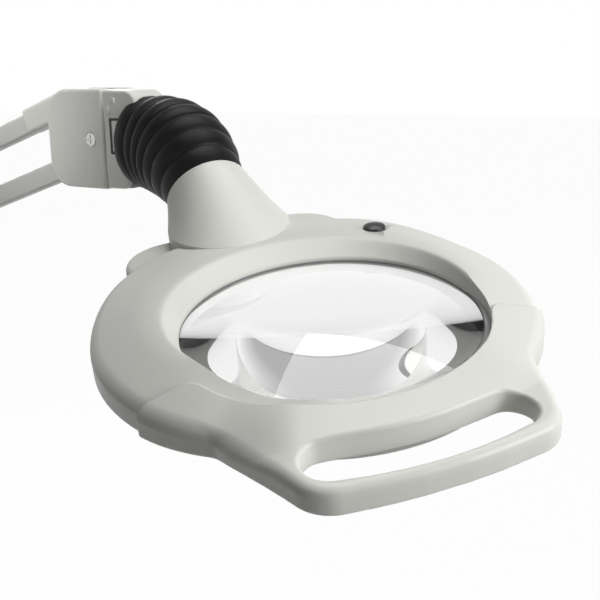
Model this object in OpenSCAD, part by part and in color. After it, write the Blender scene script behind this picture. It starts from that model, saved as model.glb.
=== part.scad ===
// Magnifying lamp: an oval ring with a glass lens, a front cover with a carrying handle, a gaitered
// three way joint, a level bracket on a two bar balanced arm, and a table clamp.
// The origin is on the face of the clamp that lies on the table top, on the axis of the arm's spigot.
// +Z is up and +X runs along the arm from the clamp to the lamp.

/* [Lens] */
// Clear width of the lens inside its bezel
lens_clear_d = 127; // [115:1:153]
// Radius of each of the two bulging faces of the lens
lens_face_r = 208; // [180:1:260]
// Thickness of the lens at its flat edge
lens_edge = 3; // [2.5:0.5:5]
// Width of the flat edge that the bezel and the gasket grip
lens_flange_w = 1.5; // [1.2:0.1:3]
// Thickness of the gasket under the lens
gasket_h = 0.8; // [0.5:0.1:2]
// Depth of the bezel's top face below the top of the ring
bevel_depth = 6.2; // [5:0.1:8]
// Width of the sloping rim between the bezel and the top of the ring, at the back
bevel_back_w = 12.6; // [9:0.1:16]
// Width of the sloping rim at the sides
bevel_side_w = 2.85; // [2:0.05:5]

/* [Ring] */
// Width of the ring from the clear lens to its outer wall, at the front
ring_front_w = 15.2; // [14:0.1:22]
// Width of the ring at the back
ring_back_w = 50.2; // [45:0.1:62]
// Height of the ring
ring_h = 22; // [21:0.5:28]
// Rounding of the ring's top outer edge
ring_round = 13; // [6:0.5:15]
// Wall of the plastic shells
wall = 2.2; // [1.8:0.1:2.8]
// Width of the electronics bay under the neck
bay_w = 118; // [100:1:130]
// How far the bay stands out behind the ring
bay_reach = 12.3; // [8:0.1:18]
// Height of the bay
bay_h = 15; // [13:0.5:18]

/* [Front cover and handle] */
// Wall of the cover outside the ring
cover_wall = 2.2; // [1.6:0.1:3]
// Thickness of the cover over the top of the ring
cover_top = 1.4; // [1.2:0.1:2.4]
// How far the cover reaches below the ring
cover_drop = 1.6; // [1.4:0.1:4]
// How far the cover's inner edge stands back from the lens's clear opening
cover_set_back = 7.5; // [3:0.5:9]
// Distance of the cover's seam in front of the lens axis
seam_y = 28; // [22:1:38]
// Turn of the cover and its handle about the lens axis
cover_turn = -7.5; // [-10:0.5:10]
// Width of the handle where it leaves the ring
handle_root_w = 132; // [115:1:150]
// Width of the handle at its front edge
handle_front_w = 104; // [96:1:125]
// How far the handle stands out in front of the ring
handle_reach = 29; // [22:0.5:36]
// Height of the handle
handle_h = 10; // [8:0.5:14]
// Height of the handle's underside above the underside of the ring
handle_lift = 7; // [0:0.5:9]
// Width of the finger opening
grip_w = 84; // [76:1:92]
// Width of the shelf of the cover that ends at the finger opening
shelf_w = 2.5; // [1.5:0.5:5]
// Height of the finger opening's wall under the cover's top, where the ring shows below it
shelf_drop = 15; // [8:0.5:20]
// Width of the grip bar in front of the opening
grip_bar_w = 5; // [5:0.5:9]
// Bow of the front edge of the handle
handle_bow = 5; // [2:0.5:8]
// Radius of the corners of the handle
handle_corner_r = 16; // [10:1:20]

/* [Power button] */
// Width of the push button
button_d = 11; // [9:0.5:14]
// Travel of the push button
button_travel = 1.2; // [0.8:0.1:1.4]
// Distance of the button to the right of the lens axis
button_x = 59.5; // [50:0.5:66]
// Distance of the button behind the lens axis
button_y = 65; // [60:0.5:70]

/* [Neck and joint] */
// Radius of the neck where it stands on the ring
neck_base_r = 31.5; // [29:0.5:36]
// Radius of the neck at its open rim
neck_rim_r = 23; // [21:0.5:25]
// Distance of the neck's foot in front of the ring's rear edge
neck_inset = 1; // [-4:0.5:6]
// How far the rim lies behind the foot of the neck
neck_back = 28; // [22:1:34]
// Height of the middle of the rim above the ring
neck_rise = 10; // [8:0.5:16]
// Slope of the neck's axis above the plane of the ring
neck_slope = 30; // [20:1:40]
// Distance from the rim to the tilt pivot
rim_to_tilt = 31; // [27:1:38]
// Distance from the swivel pivot to the tilt pivot
knuckle_reach = 20; // [19:0.5:26]
// Thickness of the stem's eye between the cheeks of the knuckle
eye_w = 8; // [6:0.5:10]
// Diameter of the stem that turns in the neck
stem_d = 10; // [8:0.5:12]
// Diameter of the tilt bolt
tilt_bolt_d = 6; // [5:0.5:7]
// Diameter of the swivel pin
swivel_pin_d = 8; // [6:0.5:9]
// Largest outer radius of the gaiter
gaiter_r = 28; // [26:0.5:30]
// Number of folds in the gaiter
gaiter_folds = 8; // [5:1:10]

/* [Pose of the head] */
// Turn of the head about the upright swivel pin
head_yaw = 63; // [30:1:110]
// Tilt of the head, handle down
head_tilt = 9; // [-5:1:20]
// Twist of the head about the neck
head_twist = -10; // [-20:1:20]

/* [Head bracket] */
// Length of the bracket's plastic covers
bracket_l = 46; // [44:1:58]
// Height of the covers
bracket_h = 58; // [54:1:68]
// Width across the two covers
bracket_w = 30; // [29:1:38]
// Wall of the covers
bracket_wall = 2; // [1.6:0.1:2.4]
// Distance from the front of the covers to the swivel pin
bracket_neck_l = 39; // [37:1:48]
// Distance from the rear of the covers to the arm's pivots
pivot_inset = 13; // [12:1:18]
// Height of the middle of the covers above the middle of the swivel pin
bracket_lift = 5; // [0:0.5:8]
// Height of the middle of the arm's pivots above the middle of the covers
pivot_rise = 3; // [0:0.5:3]

/* [Arm] */
// Distance between the pivots along a bar
arm_l = 400; // [320:1:480]
// Slope of the arm above level, as it stands
arm_slope = 18.5; // [0:0.5:40]
// Upright distance between the two bars' pivots
bar_pitch = 36.5; // [32:0.5:38]
// Height of a bar
bar_h = 13; // [12:0.5:15]
// Width of a bar
bar_w = 10; // [9:0.5:12]
// Wall of the bars
bar_wall = 1.2; // [1:0.1:1.5]
// Diameter of the arm's pivot pins
pivot_d = 6; // [5:0.5:7]
// Height of the middle of the arm's base above the table
base_z = 104; // [100:1:140]
// Diameter of the spigot
spigot_d = 12.6; // [10:0.1:14]
// Length of the spigot below the base
spigot_l = 38; // [34:1:50]

/* [Clamp] */
// Width of the clamp
clamp_w = 40; // [34:1:50]
// Widest table that fits
clamp_gap = 60; // [55:1:80]
// Depth of the jaw in front of the clamp's back
clamp_reach = 52; // [50:1:70]
// Thickness of the clamp's metal
clamp_t = 9; // [8:0.5:12]
// Diameter of the clamp screw
screw_d = 12; // [10:0.5:14]
// Distance of the clamp foot below the table face as it stands
clamp_open = 36; // [20:1:50]

/* [Hidden] */
$fn = 96;
round_fn = 32;            // sides of the circles that the handle's outline is drawn around
neck_fn = 64;             // sides of the discs that the neck is drawn around
fit = 0.05;               // radial clearance of a pin in its hole
gap = 0.2;                // clearance between shells
run = 0.4;                // clearance between faces that pass each other
eps = 0.02;               // overshoot of a cut past a face

// Lens and ring
lens_clear_r = lens_clear_d / 2;
lens_r = lens_clear_r + 1 + lens_flange_w;
lens_dome_r = lens_r - lens_flange_w;
bezel_h = 2.3;
lens_top_z = -bevel_depth - bezel_h;
lens_mid_z = lens_top_z - lens_edge / 2;
lens_sag = lens_face_r - sqrt(pow(lens_face_r, 2) - pow(lens_dome_r, 2));
seat_z = lens_top_z - lens_edge - gasket_h;
tube_in_r = lens_r + gap;
tube_out_r = tube_in_r + wall;
bezel_out_r = tube_in_r - gap / 2;
ring_r = lens_clear_r + (ring_front_w + ring_back_w) / 2;
ring_shift = (ring_back_w - ring_front_w) / 2;
ring_back_y = ring_shift + ring_r;
ring_front_y = ring_shift - ring_r;
ring_in_r = ring_r - wall;
plate_r = ring_in_r - gap;
floor_z = -ring_h + wall;
bevel_r = lens_clear_r + bevel_side_w;
bevel_shift = bevel_back_w - bevel_side_w;
collar_r = tube_out_r + 1;
bay_corner_r = 25;
bay_top_z = -ring_h + bay_h;
bay_back_y = ring_back_y + bay_reach;
bay_front_y = ring_shift;

// Light
board_in_r = tube_out_r + 0.3;
board_out_r = ring_front_w + lens_clear_r - wall - 0.7;
board_t = 1.6;
board_z = floor_z + 3.4;
led_w = 3;
led_h = 0.8;
led_count = 36;
diffuser_t = wall - 1;
rib_count = 6;
rib_w = 4;

// Driver board beside the socket's foot
driver_w = 36;
driver_l = 22;
driver_x = 16;
driver_y = ring_back_y - neck_inset - 20;
driver_post_h = 3;

// Screws in the head
boss_r = 3.4;
boss_screw_d = 3;
boss_head_r = 2.7;
boss_head_h = 1.8;
boss_sink = 1;
boss_reach = lens_clear_r + 17.5;
boss_places = [for (a = [68, 112, 176, 4]) [boss_reach * 1.1 * cos(a), boss_reach * 1.1 * sin(a) * 1.02]];

// Front cover
cover_gap_r = lens_clear_r + cover_set_back;
cover_r = ring_r + gap + cover_wall;
cover_bottom_z = -ring_h - cover_drop;
cover_lip_w = 13;
cover_screw_r = lens_clear_r + 16;
cover_screw_a = 29;
handle_front_y = ring_front_y - gap - cover_wall - handle_reach;
handle_bottom_z = -ring_h + handle_lift;
grip_end_r = 11;
shelf_end = 8;
grip_near_y = handle_front_y + grip_bar_w;
grip_far_y = ring_front_y - gap - cover_wall - shelf_w;
grip_ring_r = cover_r + shelf_w;

// Neck and joint, in the head's own frame
neck_dir = [0, cos(neck_slope), sin(neck_slope)];
neck_foot = [0, ring_back_y - neck_inset, 0];
neck_rim = neck_foot + [0, neck_back, neck_rise];
tilt_in_head = neck_rim + rim_to_tilt * neck_dir;
neck_wall = 1.8;
neck_hole_r = neck_base_r - neck_wall - 3;
neck_notch = wall + eps;
neck_base_z = bay_top_z + gap;
socket_out_r = stem_d / 2 + 4;
socket_top = rim_to_tilt + 1;
socket_l = 20;
socket_foot_w = 26;
socket_foot_l = 20;
socket_foot_h = 20;
clip_t = 1.6;
clip_gap = 0.3;
clip_r = stem_d / 2 + 3;
clip_groove = 1;
stem_end = socket_top + socket_l + 6;
cheek_t = 5;
cheek_x = eye_w / 2 + 0.3;
tilt_washer_t = 1.2;
tilt_head_h = 3.5;
tilt_nut_h = 4;
tilt_hex_r = tilt_bolt_d * 0.85;
tilt_stack = cheek_x + cheek_t + tilt_washer_t;
cheek_r = 10;
eye_r = 9.5;
knuckle_h = 20;
knuckle_boss_r = 8;
stem_start = cheek_r + 3;

// Bracket, in its own frame with the swivel axis at x = 0 and the middle of its height at z = 0
fork_arm_t = 5;
fork_arm_w = 17;
fork_z = knuckle_h / 2 + run;
collar_out_r = 24.3;
collar_in_r = 21.5;
collar_lift = 3;
collar_back_x = -21.5;
collar_front_x = -18;
cover_front_x = -bracket_neck_l;
cover_back_x = cover_front_x - bracket_l;
pivot_x = cover_back_x + pivot_inset;
plate_t = 3;
plate_gap = bar_w / 2 + 3;
plate_h = bracket_h - 2 * bracket_wall - 2 * gap;
cover_slot_w = bar_w + 5;
cover_corner_r = 12;
bracket_screw_x = cover_back_x + 36;
bracket_screw_d = 4;
bracket_boss_r = 5;
screw_dish_r = 4.5;
plate_front_x = cover_front_x - bracket_wall - gap;
plate_back_x = cover_back_x + bracket_wall + gap;
plate_corner_r = cover_corner_r - bracket_wall - gap;
web_t = 6;
web_h = plate_h - 2 * plate_corner_r;
flange_t = 2;
neck_block_w = bracket_w - 4;
neck_block_h = bracket_h - 3;

// Arm
arm_x = arm_l * cos(arm_slope);
arm_z = arm_l * sin(arm_slope);
bar_end_r = bar_h / 2;
bush_r = pivot_d / 2 + 1.3;
bush_l = 2 * (plate_gap - 0.3);
swivel_point = [arm_x - pivot_x, 0, base_z + arm_z - bracket_lift - pivot_rise];
tilt_point = swivel_point + knuckle_reach * [sin(head_yaw), -cos(head_yaw), 0];
pin_l = 2 * (plate_gap + plate_t) + 1;
sleeve_l = 34;
sleeve_end = 10;
sleeve_t = 2.4;
sleeve_side_t = 1.4;
spring_r = bar_w / 2 - bar_wall - 0.5;
bar_solid_l = bar_end_r + 6;
spring_start = bar_solid_l + 0.1;
spring_l = 150;
spring_turns = 50;
spring_pin_d = 4;
spring_pin_x = spring_start + spring_l + spring_pin_d / 2 + 0.1;

// Base
base_plate_drop = bar_pitch / 2 + bar_end_r + 6;
base_block_h = 10;
base_l = 44;
base_bottom_z = base_z - base_plate_drop - base_block_h;
base_plate_top_z = base_z + bar_pitch / 2 + bar_end_r;
base_cover_x = base_l / 2 + 1 + bracket_wall + gap;
base_cover_top_z = base_plate_top_z + bracket_wall + 1;
washer_t = 1.5;
inlet_r = 5;
inlet_bore_r = 2.75;
inlet_bore_l = 9;

// Clamp
jaw_pad_t = 2;
bush_wall = 2.4;
clamp_boss_r = spigot_d / 2 + bush_wall + 5;
clamp_boss_top_z = base_bottom_z - washer_t;
clamp_back_x = -26;
foot_t = 6;
foot_r = 16;
screw_tip_h = 3;
screw_head_h = 14;
clamp_bottom_z = -clamp_gap - jaw_pad_t;
screw_x = 8;
screw_tail = 34;
screw_top_z = -clamp_open - foot_t + screw_tip_h;
screw_bottom_z = clamp_bottom_z - clamp_t - screw_tail;
bar_z = screw_bottom_z + screw_head_h / 2;
bar_d = 7;
bar_l = 62;

shell_grey = "#d9d9d3";
rubber_black = "#1d1d1f";
steel = "#b9bbbd";

// Frames

module at_head() {
    translate(tilt_point)
        rotate([0, 0, head_yaw])
            rotate([head_tilt, 0, 0])
                rotate(a = head_twist, v = neck_dir)
                    translate(-tilt_in_head)
                        children();
}

// The frame of the stem: its axis is along +Z, from the head up to the tilt pivot at the origin
module at_stem() {
    translate(tilt_point)
        rotate([0, 0, head_yaw])
            rotate([head_tilt, 0, 0])
                rotate([neck_slope - 90, 0, 0])
                    children();
}

// The same axis, turned with the head
module at_neck() {
    translate(tilt_in_head)
        rotate([neck_slope - 90, 0, 0])
            children();
}

module at_knuckle() {
    translate(tilt_point)
        rotate([0, 0, head_yaw])
            children();
}

module at_bracket() {
    translate(swivel_point)
        children();
}

module at_cover() {
    rotate([0, 0, cover_turn])
        children();
}

// A bar's frame: +X runs along the bar from its base pivot
module along_bar(side) {
    translate([0, 0, base_z + side * bar_pitch / 2])
        rotate([0, -arm_slope, 0])
            children();
}

// Shapes that repeat

module tube(out_r, in_r, h) {
    difference() {
        cylinder(r = out_r, h = h);
        translate([0, 0, -eps])
            cylinder(r = in_r, h = h + 2 * eps);
    }
}

module round_rect(w, d, r) {
    square([w, d - 2 * r], center = true);
    square([w - 2 * r, d], center = true);
    for (x = [-1, 1], y = [-1, 1])
        translate([x * (w / 2 - r), y * (d / 2 - r)])
            circle(r);
}

// A disc of the ring: upright wall, rounded top outer edge, flat top at the height top_z
module ring_disc(r, top_z, bottom_z, round_r) {
    translate([0, ring_shift, 0])
        rotate_extrude()
            union() {
                translate([0, bottom_z])
                    square([r, top_z - bottom_z - round_r]);
                translate([0, bottom_z])
                    square([r - round_r, top_z - bottom_z]);
                intersection() {
                    translate([r - round_r, top_z - round_r])
                        circle(round_r);
                    translate([r - round_r - eps, top_z - round_r - eps])
                        square(round_r + 1);
                }
            }
}

// A round boss of the ring, with a pilot hole
module boss(z0, z1, hole_d) {
    translate([0, 0, z0])
        difference() {
            cylinder(r = boss_r, h = z1 - z0, $fn = 32);
            translate([0, 0, -eps])
                cylinder(d = hole_d, h = z1 - z0 - 1, $fn = 32);
        }
}

// A screw with its head at the origin and its shank up +Z
module screw(head_r, head_h, d, l) {
    difference() {
        cylinder(r = head_r, h = head_h, $fn = 32);
        translate([0, 0, -eps])
            for (a = [0, 90])
                rotate([0, 0, a])
                    translate([-head_r * 0.7, -0.4, 0])
                        cube([head_r * 1.4, 0.8, head_h * 0.5]);
    }
    translate([0, 0, head_h])
        cylinder(d = d, h = l, $fn = 32);
}

// A flat bar outline with two round ends, drawn in XZ and w wide along Y
module link(l, r, w) {
    rotate([90, 0, 0])
        translate([0, 0, -w / 2])
            linear_extrude(w)
                union() {
                    translate([0, -r])
                        square([l, 2 * r]);
                    circle(r);
                    translate([l, 0])
                        circle(r);
                }
}

module cross_pin(d, l) {
    rotate([90, 0, 0])
        cylinder(d = d, h = l, center = true, $fn = 48);
}

// The electronics bay in plan
module bay_plan(inset) {
    translate([0, (bay_back_y + bay_front_y) / 2])
        round_rect(bay_w - 2 * inset, bay_back_y - bay_front_y - 2 * inset, bay_corner_r - inset);
}

// Head

module bevel_cut() {
    hull() {
        translate([0, 0, -bevel_depth - eps])
            cylinder(r = lens_clear_r, h = eps);
        translate([0, bevel_shift, 0])
            cylinder(r = bevel_r, h = eps);
    }
    translate([0, 0, -ring_h])
        cylinder(r = lens_clear_r, h = 2 * ring_h);
    translate([0, 0, -ring_h - eps])
        cylinder(r = tube_out_r + gap, h = ring_h + eps - bevel_depth);
}

module top_housing() {
    color(shell_grey)
        at_head()
            difference() {
                union() {
                    difference() {
                        ring_disc(ring_r, 0, -ring_h, ring_round);
                        ring_disc(ring_in_r, -wall, -ring_h - 1, ring_round - wall);
                        translate([0, 0, -ring_h - 1])
                            linear_extrude(bay_h + 1 + gap)
                                bay_plan(-gap);
                    }
                    intersection() {
                        ring_disc(ring_in_r, -wall / 2, -ring_h, ring_round - wall);
                        union() {
                            translate([0, 0, -bevel_depth - 2])
                                cylinder(r = collar_r, h = bevel_depth + 1);
                            translate([0, bevel_shift, -bevel_depth])
                                cylinder(r = bevel_r + 1.5, h = bevel_depth - 1);
                            for (p = boss_places)
                                translate(p)
                                    boss(floor_z + gap, -1, boss_screw_d - 0.4);
                        }
                    }
                }
                bevel_cut();
                translate([button_x, button_y, -ring_h / 2])
                    cylinder(d = button_d + 0.5, h = ring_h);
                translate([0, neck_foot[1], -ring_h / 2])
                    cylinder(r = neck_hole_r, h = ring_h);
            }
}

module bottom_housing() {
    color(shell_grey)
        at_head()
            difference() {
                union() {
                    difference() {
                        ring_disc(plate_r, floor_z, -ring_h, 0.5);
                        translate([0, 0, -ring_h - eps])
                            cylinder(r = tube_in_r, h = ring_h);
                    }
                    translate([0, 0, -ring_h])
                        tube(tube_out_r, tube_in_r, ring_h - bevel_depth - gap);
                    translate([0, 0, -ring_h])
                        tube(tube_out_r - eps, lens_clear_r, ring_h + seat_z);
                    difference() {
                        translate([0, 0, -ring_h])
                            linear_extrude(bay_h)
                                bay_plan(0);
                        translate([0, 0, floor_z])
                            linear_extrude(bay_h - 2 * wall)
                                bay_plan(wall);
                        translate([0, 0, floor_z])
                            linear_extrude(ring_h)
                                translate([0, ring_shift])
                                    circle(plate_r);
                        translate([0, neck_foot[1], bay_top_z - neck_notch])
                            cylinder(r = neck_hole_r, h = ring_h);
                    }
                    for (x = [4, driver_w - 4])
                        translate([driver_x + x, driver_y + driver_l / 2, floor_z - eps])
                            cylinder(r = 2.5, h = driver_post_h + eps, $fn = 32);
                    translate([button_x, button_y, floor_z - eps])
                        cylinder(r = 4, h = -floor_z - 11, $fn = 32);
                    for (x = [-1, 1])
                        at_cover()
                            translate([x * cover_screw_r * cos(cover_screw_a),
                                -cover_screw_r * sin(cover_screw_a), floor_z - eps])
                                cylinder(r = 2.8, h = 5, $fn = 32);
                }
                translate([0, 0, -ring_h - eps])
                    cylinder(r = lens_clear_r, h = ring_h);
                translate([0, 0, seat_z])
                    cylinder(r = tube_in_r, h = ring_h);
                difference() {
                    translate([0, 0, -ring_h - eps])
                        tube(board_out_r + gap, board_in_r - gap, wall + 2 * eps);
                    for (i = [0:rib_count - 1])
                        rotate([0, 0, i * 360 / rib_count])
                            translate([0, -rib_w / 2, -ring_h + diffuser_t])
                                cube([2 * ring_r, rib_w, wall]);
                }
                for (p = boss_places)
                    translate([p[0], p[1], -ring_h - eps]) {
                        cylinder(d = boss_screw_d + 0.4, h = ring_h / 2, $fn = 32);
                        cylinder(r = boss_head_r + 0.2, h = boss_sink + eps, $fn = 32);
                    }
                for (x = [-1, 1])
                    at_cover()
                        translate([x * cover_screw_r * cos(cover_screw_a),
                            -cover_screw_r * sin(cover_screw_a), -ring_h - eps])
                            cylinder(d = boss_screw_d + 2 * fit, h = 6, $fn = 32);
            }
}

module handle_plan() {
    hull() {
        for (x = [-1, 1]) {
            translate([x * (handle_front_w / 2 - handle_corner_r),
                handle_front_y + handle_bow + handle_corner_r])
                circle(handle_corner_r, $fn = round_fn);
            translate([x * (handle_root_w / 2 - 8), -seam_y - 22])
                circle(8, $fn = round_fn);
        }
        for (x = [-20, 0, 20])
            translate([x, handle_front_y + handle_corner_r + handle_bow * pow(x / 50, 2)])
                circle(handle_corner_r, $fn = round_fn);
    }
}

// The finger opening: a slot with round ends, bounded by the shelf on the side of the ring
module grip_plan() {
    difference() {
        hull() {
            for (x = [-1, 1])
                translate([x * (grip_w / 2 - grip_end_r), grip_near_y + handle_bow + grip_end_r])
                    circle(grip_end_r, $fn = round_fn);
            translate([0, grip_near_y + grip_end_r])
                circle(grip_end_r, $fn = round_fn);
            translate([0, ring_front_y])
                circle(grip_end_r / 2, $fn = round_fn);
        }
        rotate([0, 0, -cover_turn])
            translate([0, ring_shift])
                circle(grip_ring_r);
    }
}

// The top of the cover runs on level from the ring to the far edge of the finger opening
module shelf_plan() {
    intersection() {
        polygon([
            [-handle_root_w / 2, -seam_y - 20], [handle_root_w / 2, -seam_y - 20],
            [grip_w / 2, grip_far_y - shelf_w], [-grip_w / 2, grip_far_y - shelf_w]
        ]);
        handle_plan();
        rotate([0, 0, -cover_turn])
            translate([0, ring_shift])
                circle(grip_ring_r);
    }
}

module front_cover() {
    color(shell_grey)
        at_head()
            difference() {
                union() {
                    intersection() {
                        ring_disc(cover_r, gap + cover_top, cover_bottom_z, ring_round);
                        at_cover()
                            translate([-2 * ring_r, -4 * ring_r - seam_y, -2 * ring_h])
                                cube([4 * ring_r, 4 * ring_r, 4 * ring_h]);
                    }
                    at_cover()
                        translate([0, 0, handle_bottom_z]) {
                            linear_extrude(handle_h)
                                handle_plan();
                            linear_extrude(gap + cover_top - handle_bottom_z)
                                shelf_plan();
                        }
                }
                ring_disc(ring_r + gap, gap, -ring_h - gap, ring_round);
                ring_disc(ring_r - cover_lip_w, 0, -2 * ring_h, 0.5);
                translate([0, 0, -2 * ring_h])
                    cylinder(r = cover_gap_r, h = 4 * ring_h);
                at_cover()
                    translate([0, 0, -3 * ring_h])
                        linear_extrude(4 * ring_h)
                            grip_plan();
                at_cover()
                    translate([-grip_w / 2 + shelf_end, grip_near_y + shelf_end, cover_bottom_z - eps])
                        cube([grip_w - 2 * shelf_end, -grip_near_y - seam_y - 2 * shelf_end,
                            gap + cover_top - shelf_drop - cover_bottom_z + eps]);
                for (x = [-1, 1])
                    at_cover()
                        translate([x * cover_screw_r * cos(cover_screw_a),
                            -cover_screw_r * sin(cover_screw_a), cover_bottom_z - eps]) {
                            cylinder(d = boss_screw_d + 0.4, h = ring_h / 2, $fn = 32);
                            cylinder(r = boss_head_r + 0.2, h = boss_sink + eps, $fn = 32);
                        }
            }
}

module neck_solid(inset, overshoot) {
    hull() {
        translate([0, neck_foot[1], neck_base_z - overshoot])
            cylinder(r = neck_base_r - inset, h = gap - neck_base_z + overshoot, $fn = neck_fn);
        at_neck()
            translate([0, 0, -rim_to_tilt - 1])
                cylinder(r = neck_rim_r - inset, h = 1 + overshoot, $fn = neck_fn);
    }
}

module neck_cover() {
    color(shell_grey)
        at_head()
            difference() {
                neck_solid(0, 0);
                neck_solid(neck_wall, 0.6);
                ring_disc(ring_r + gap, gap, -2 * ring_h, ring_round);
                translate([-neck_base_r, 0, -2 * ring_h])
                    cube([2 * neck_base_r, bay_back_y + gap, 2 * ring_h + neck_base_z]);
                at_neck()
                    translate([0, 0, -2 * socket_top - socket_l])
                        cylinder(r = socket_out_r + run, h = socket_top + socket_l);
            }
}

module lens() {
    color("#dfeef0", 0.4)
        at_head()
            translate([0, 0, lens_mid_z])
                rotate_extrude($fn = 192)
                    union() {
                        translate([0, -lens_edge / 2])
                            square([lens_r, lens_edge]);
                        intersection() {
                            for_both_faces()
                                circle(lens_face_r, $fn = 1440);
                            translate([0, -lens_face_r])
                                square([lens_dome_r, 2 * lens_face_r]);
                        }
                    }
}

// Where both bulging faces of the lens overlap
module for_both_faces() {
    intersection() {
        translate([0, lens_edge / 2 + lens_sag - lens_face_r])
            children();
        translate([0, lens_face_r - lens_edge / 2 - lens_sag])
            children();
    }
}

module lens_gasket() {
    color(rubber_black)
        at_head()
            translate([0, 0, seat_z])
                tube(lens_r, lens_dome_r + 0.2, gasket_h);
}

module lens_bezel() {
    color("silver")
        at_head()
            translate([0, 0, lens_top_z])
                rotate_extrude()
                    polygon([
                        [lens_dome_r + 0.1, 0], [bezel_out_r, 0], [bezel_out_r, bezel_h],
                        [lens_clear_r, bezel_h], [lens_clear_r, bezel_h - 1]
                    ]);
}

module led_board() {
    color("white")
        at_head()
            translate([0, 0, board_z])
                tube(board_out_r, board_in_r, board_t);
}

module leds() {
    color("#f5e9a8")
        at_head()
            for (i = [0:led_count - 1])
                rotate([0, 0, i * 360 / led_count])
                    translate([(board_in_r + board_out_r) / 2, 0, board_z - led_h / 2])
                        cube([led_w, led_w, led_h], center = true);
}

module diffuser() {
    color("#f4f4ee", 0.8)
        at_head()
            translate([0, 0, -ring_h])
                tube(board_out_r, board_in_r, diffuser_t);
}

module power_button() {
    color(rubber_black)
        at_head()
            translate([button_x, button_y, 0]) {
                intersection() {
                    translate([0, 0, -wall - 0.2])
                        cylinder(d = button_d, h = wall + 2);
                    translate([0, 0, 1.8 - 14])
                        sphere(14);
                }
                translate([0, 0, -wall - 1.4])
                    cylinder(d = button_d + 2.4, h = 1.2);
                translate([0, 0, -wall - 2.4])
                    cylinder(d = 4, h = 1.2, $fn = 32);
            }
}

module tactile_switch() {
    color("#3a3a3c")
        at_head()
            translate([button_x, button_y, -9.8]) {
                translate([-3, -3, 0])
                    cube([6, 6, 3]);
                cylinder(d = 3.4, h = 3.8, $fn = 32);
            }
}

module switch_board() {
    color("#2e6b45")
        at_head()
            translate([button_x - 6, button_y - 6, -11])
                cube([12, 12, 1.2]);
}

module driver_board() {
    color("#2e6b45")
        at_head()
            translate([driver_x, driver_y, floor_z + driver_post_h])
                cube([driver_w, driver_l, board_t]);
}

module housing_screws() {
    color(steel)
        at_head()
            for (p = boss_places)
                translate([p[0], p[1], -ring_h - boss_head_h + boss_sink])
                    screw(boss_head_r, boss_head_h, boss_screw_d - 0.5, 10);
}

module cover_screws() {
    color(steel)
        at_head()
            at_cover()
                for (x = [-1, 1])
                    translate([x * cover_screw_r * cos(cover_screw_a),
                        -cover_screw_r * sin(cover_screw_a), cover_bottom_z - boss_head_h + boss_sink])
                        screw(boss_head_r, boss_head_h, boss_screw_d, 6);
}

// Joint between head and bracket

module neck_socket() {
    color(steel)
        at_head()
            difference() {
                union() {
                    at_neck()
                        translate([0, 0, -socket_top - socket_l])
                            cylinder(r = socket_out_r, h = socket_l);
                    translate([-socket_foot_w / 2, neck_foot[1] - socket_foot_l / 2, floor_z])
                        cube([socket_foot_w, socket_foot_l, socket_foot_h]);
                }
                at_neck() {
                    translate([0, 0, -socket_top - 2 * socket_l])
                        cylinder(d = stem_d + 2 * fit, h = 3 * socket_l);
                    translate([0, 0, -socket_top - 3 * socket_l])
                        cylinder(r = clip_r + run, h = 2 * socket_l);
                }
            }
}

module stem() {
    color(steel)
        at_stem() {
            difference() {
                union() {
                    rotate([0, 90, 0])
                        cylinder(r = eye_r, h = eye_w, center = true);
                    translate([-eye_w / 2, -5, -stem_start - 2])
                        cube([eye_w, 10, stem_start + 2]);
                    translate([0, 0, -stem_start - 8])
                        cylinder(r = 7, h = 8);
                    translate([0, 0, -stem_end])
                        cylinder(d = stem_d, h = stem_end - stem_start);
                }
                rotate([0, 90, 0])
                    cylinder(d = tilt_bolt_d + 2 * fit, h = 4 * eye_w, center = true);
                translate([0, 0, -socket_top - socket_l - clip_gap - clip_t - 0.1])
                    tube(stem_d, stem_d / 2 - clip_groove, clip_t + 0.2);
            }
        }
}

module stem_clip() {
    color("#55575a")
        at_stem()
            translate([0, 0, -socket_top - socket_l - clip_gap - clip_t])
                tube(clip_r, stem_d / 2 - clip_groove + fit, clip_t);
}

module knuckle() {
    color(steel)
        at_knuckle()
            difference() {
                union() {
                    for (x = [-1, 1])
                        translate([x * (cheek_x + cheek_t / 2), 0, 0])
                            rotate([0, 90, 0])
                                cylinder(r = cheek_r, h = cheek_t, center = true);
                    for (x = [-1, 1])
                        translate([x * (cheek_x + cheek_t / 2) - cheek_t / 2, 0, -cheek_r])
                            cube([cheek_t, knuckle_reach - 6, 2 * cheek_r]);
                    translate([-cheek_x - cheek_t, eye_r + 1, -cheek_r])
                        cube([2 * (cheek_x + cheek_t), knuckle_reach - eye_r - 5, 2 * cheek_r]);
                    translate([0, knuckle_reach, -knuckle_h / 2])
                        cylinder(r = knuckle_boss_r, h = knuckle_h);
                }
                rotate([0, 90, 0])
                    cylinder(d = tilt_bolt_d + 2 * fit, h = 100, center = true);
                translate([0, knuckle_reach, -knuckle_h])
                    cylinder(d = swivel_pin_d + 2 * fit, h = 2 * knuckle_h);
            }
}

module tilt_bolt() {
    color(steel)
        at_knuckle()
            rotate([0, 90, 0]) {
                cylinder(d = tilt_bolt_d, h = 2 * (tilt_stack + tilt_head_h), center = true);
                translate([0, 0, -tilt_stack - tilt_head_h])
                    cylinder(r = tilt_hex_r, h = tilt_head_h, $fn = 6);
            }
}

module tilt_nut() {
    color(steel)
        at_knuckle()
            translate([tilt_stack, 0, 0])
                rotate([0, 90, 0])
                    difference() {
                        cylinder(r = tilt_hex_r, h = tilt_nut_h, $fn = 6);
                        translate([0, 0, -eps])
                            cylinder(d = tilt_bolt_d + 2 * fit, h = tilt_nut_h + 1);
                    }
}

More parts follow.
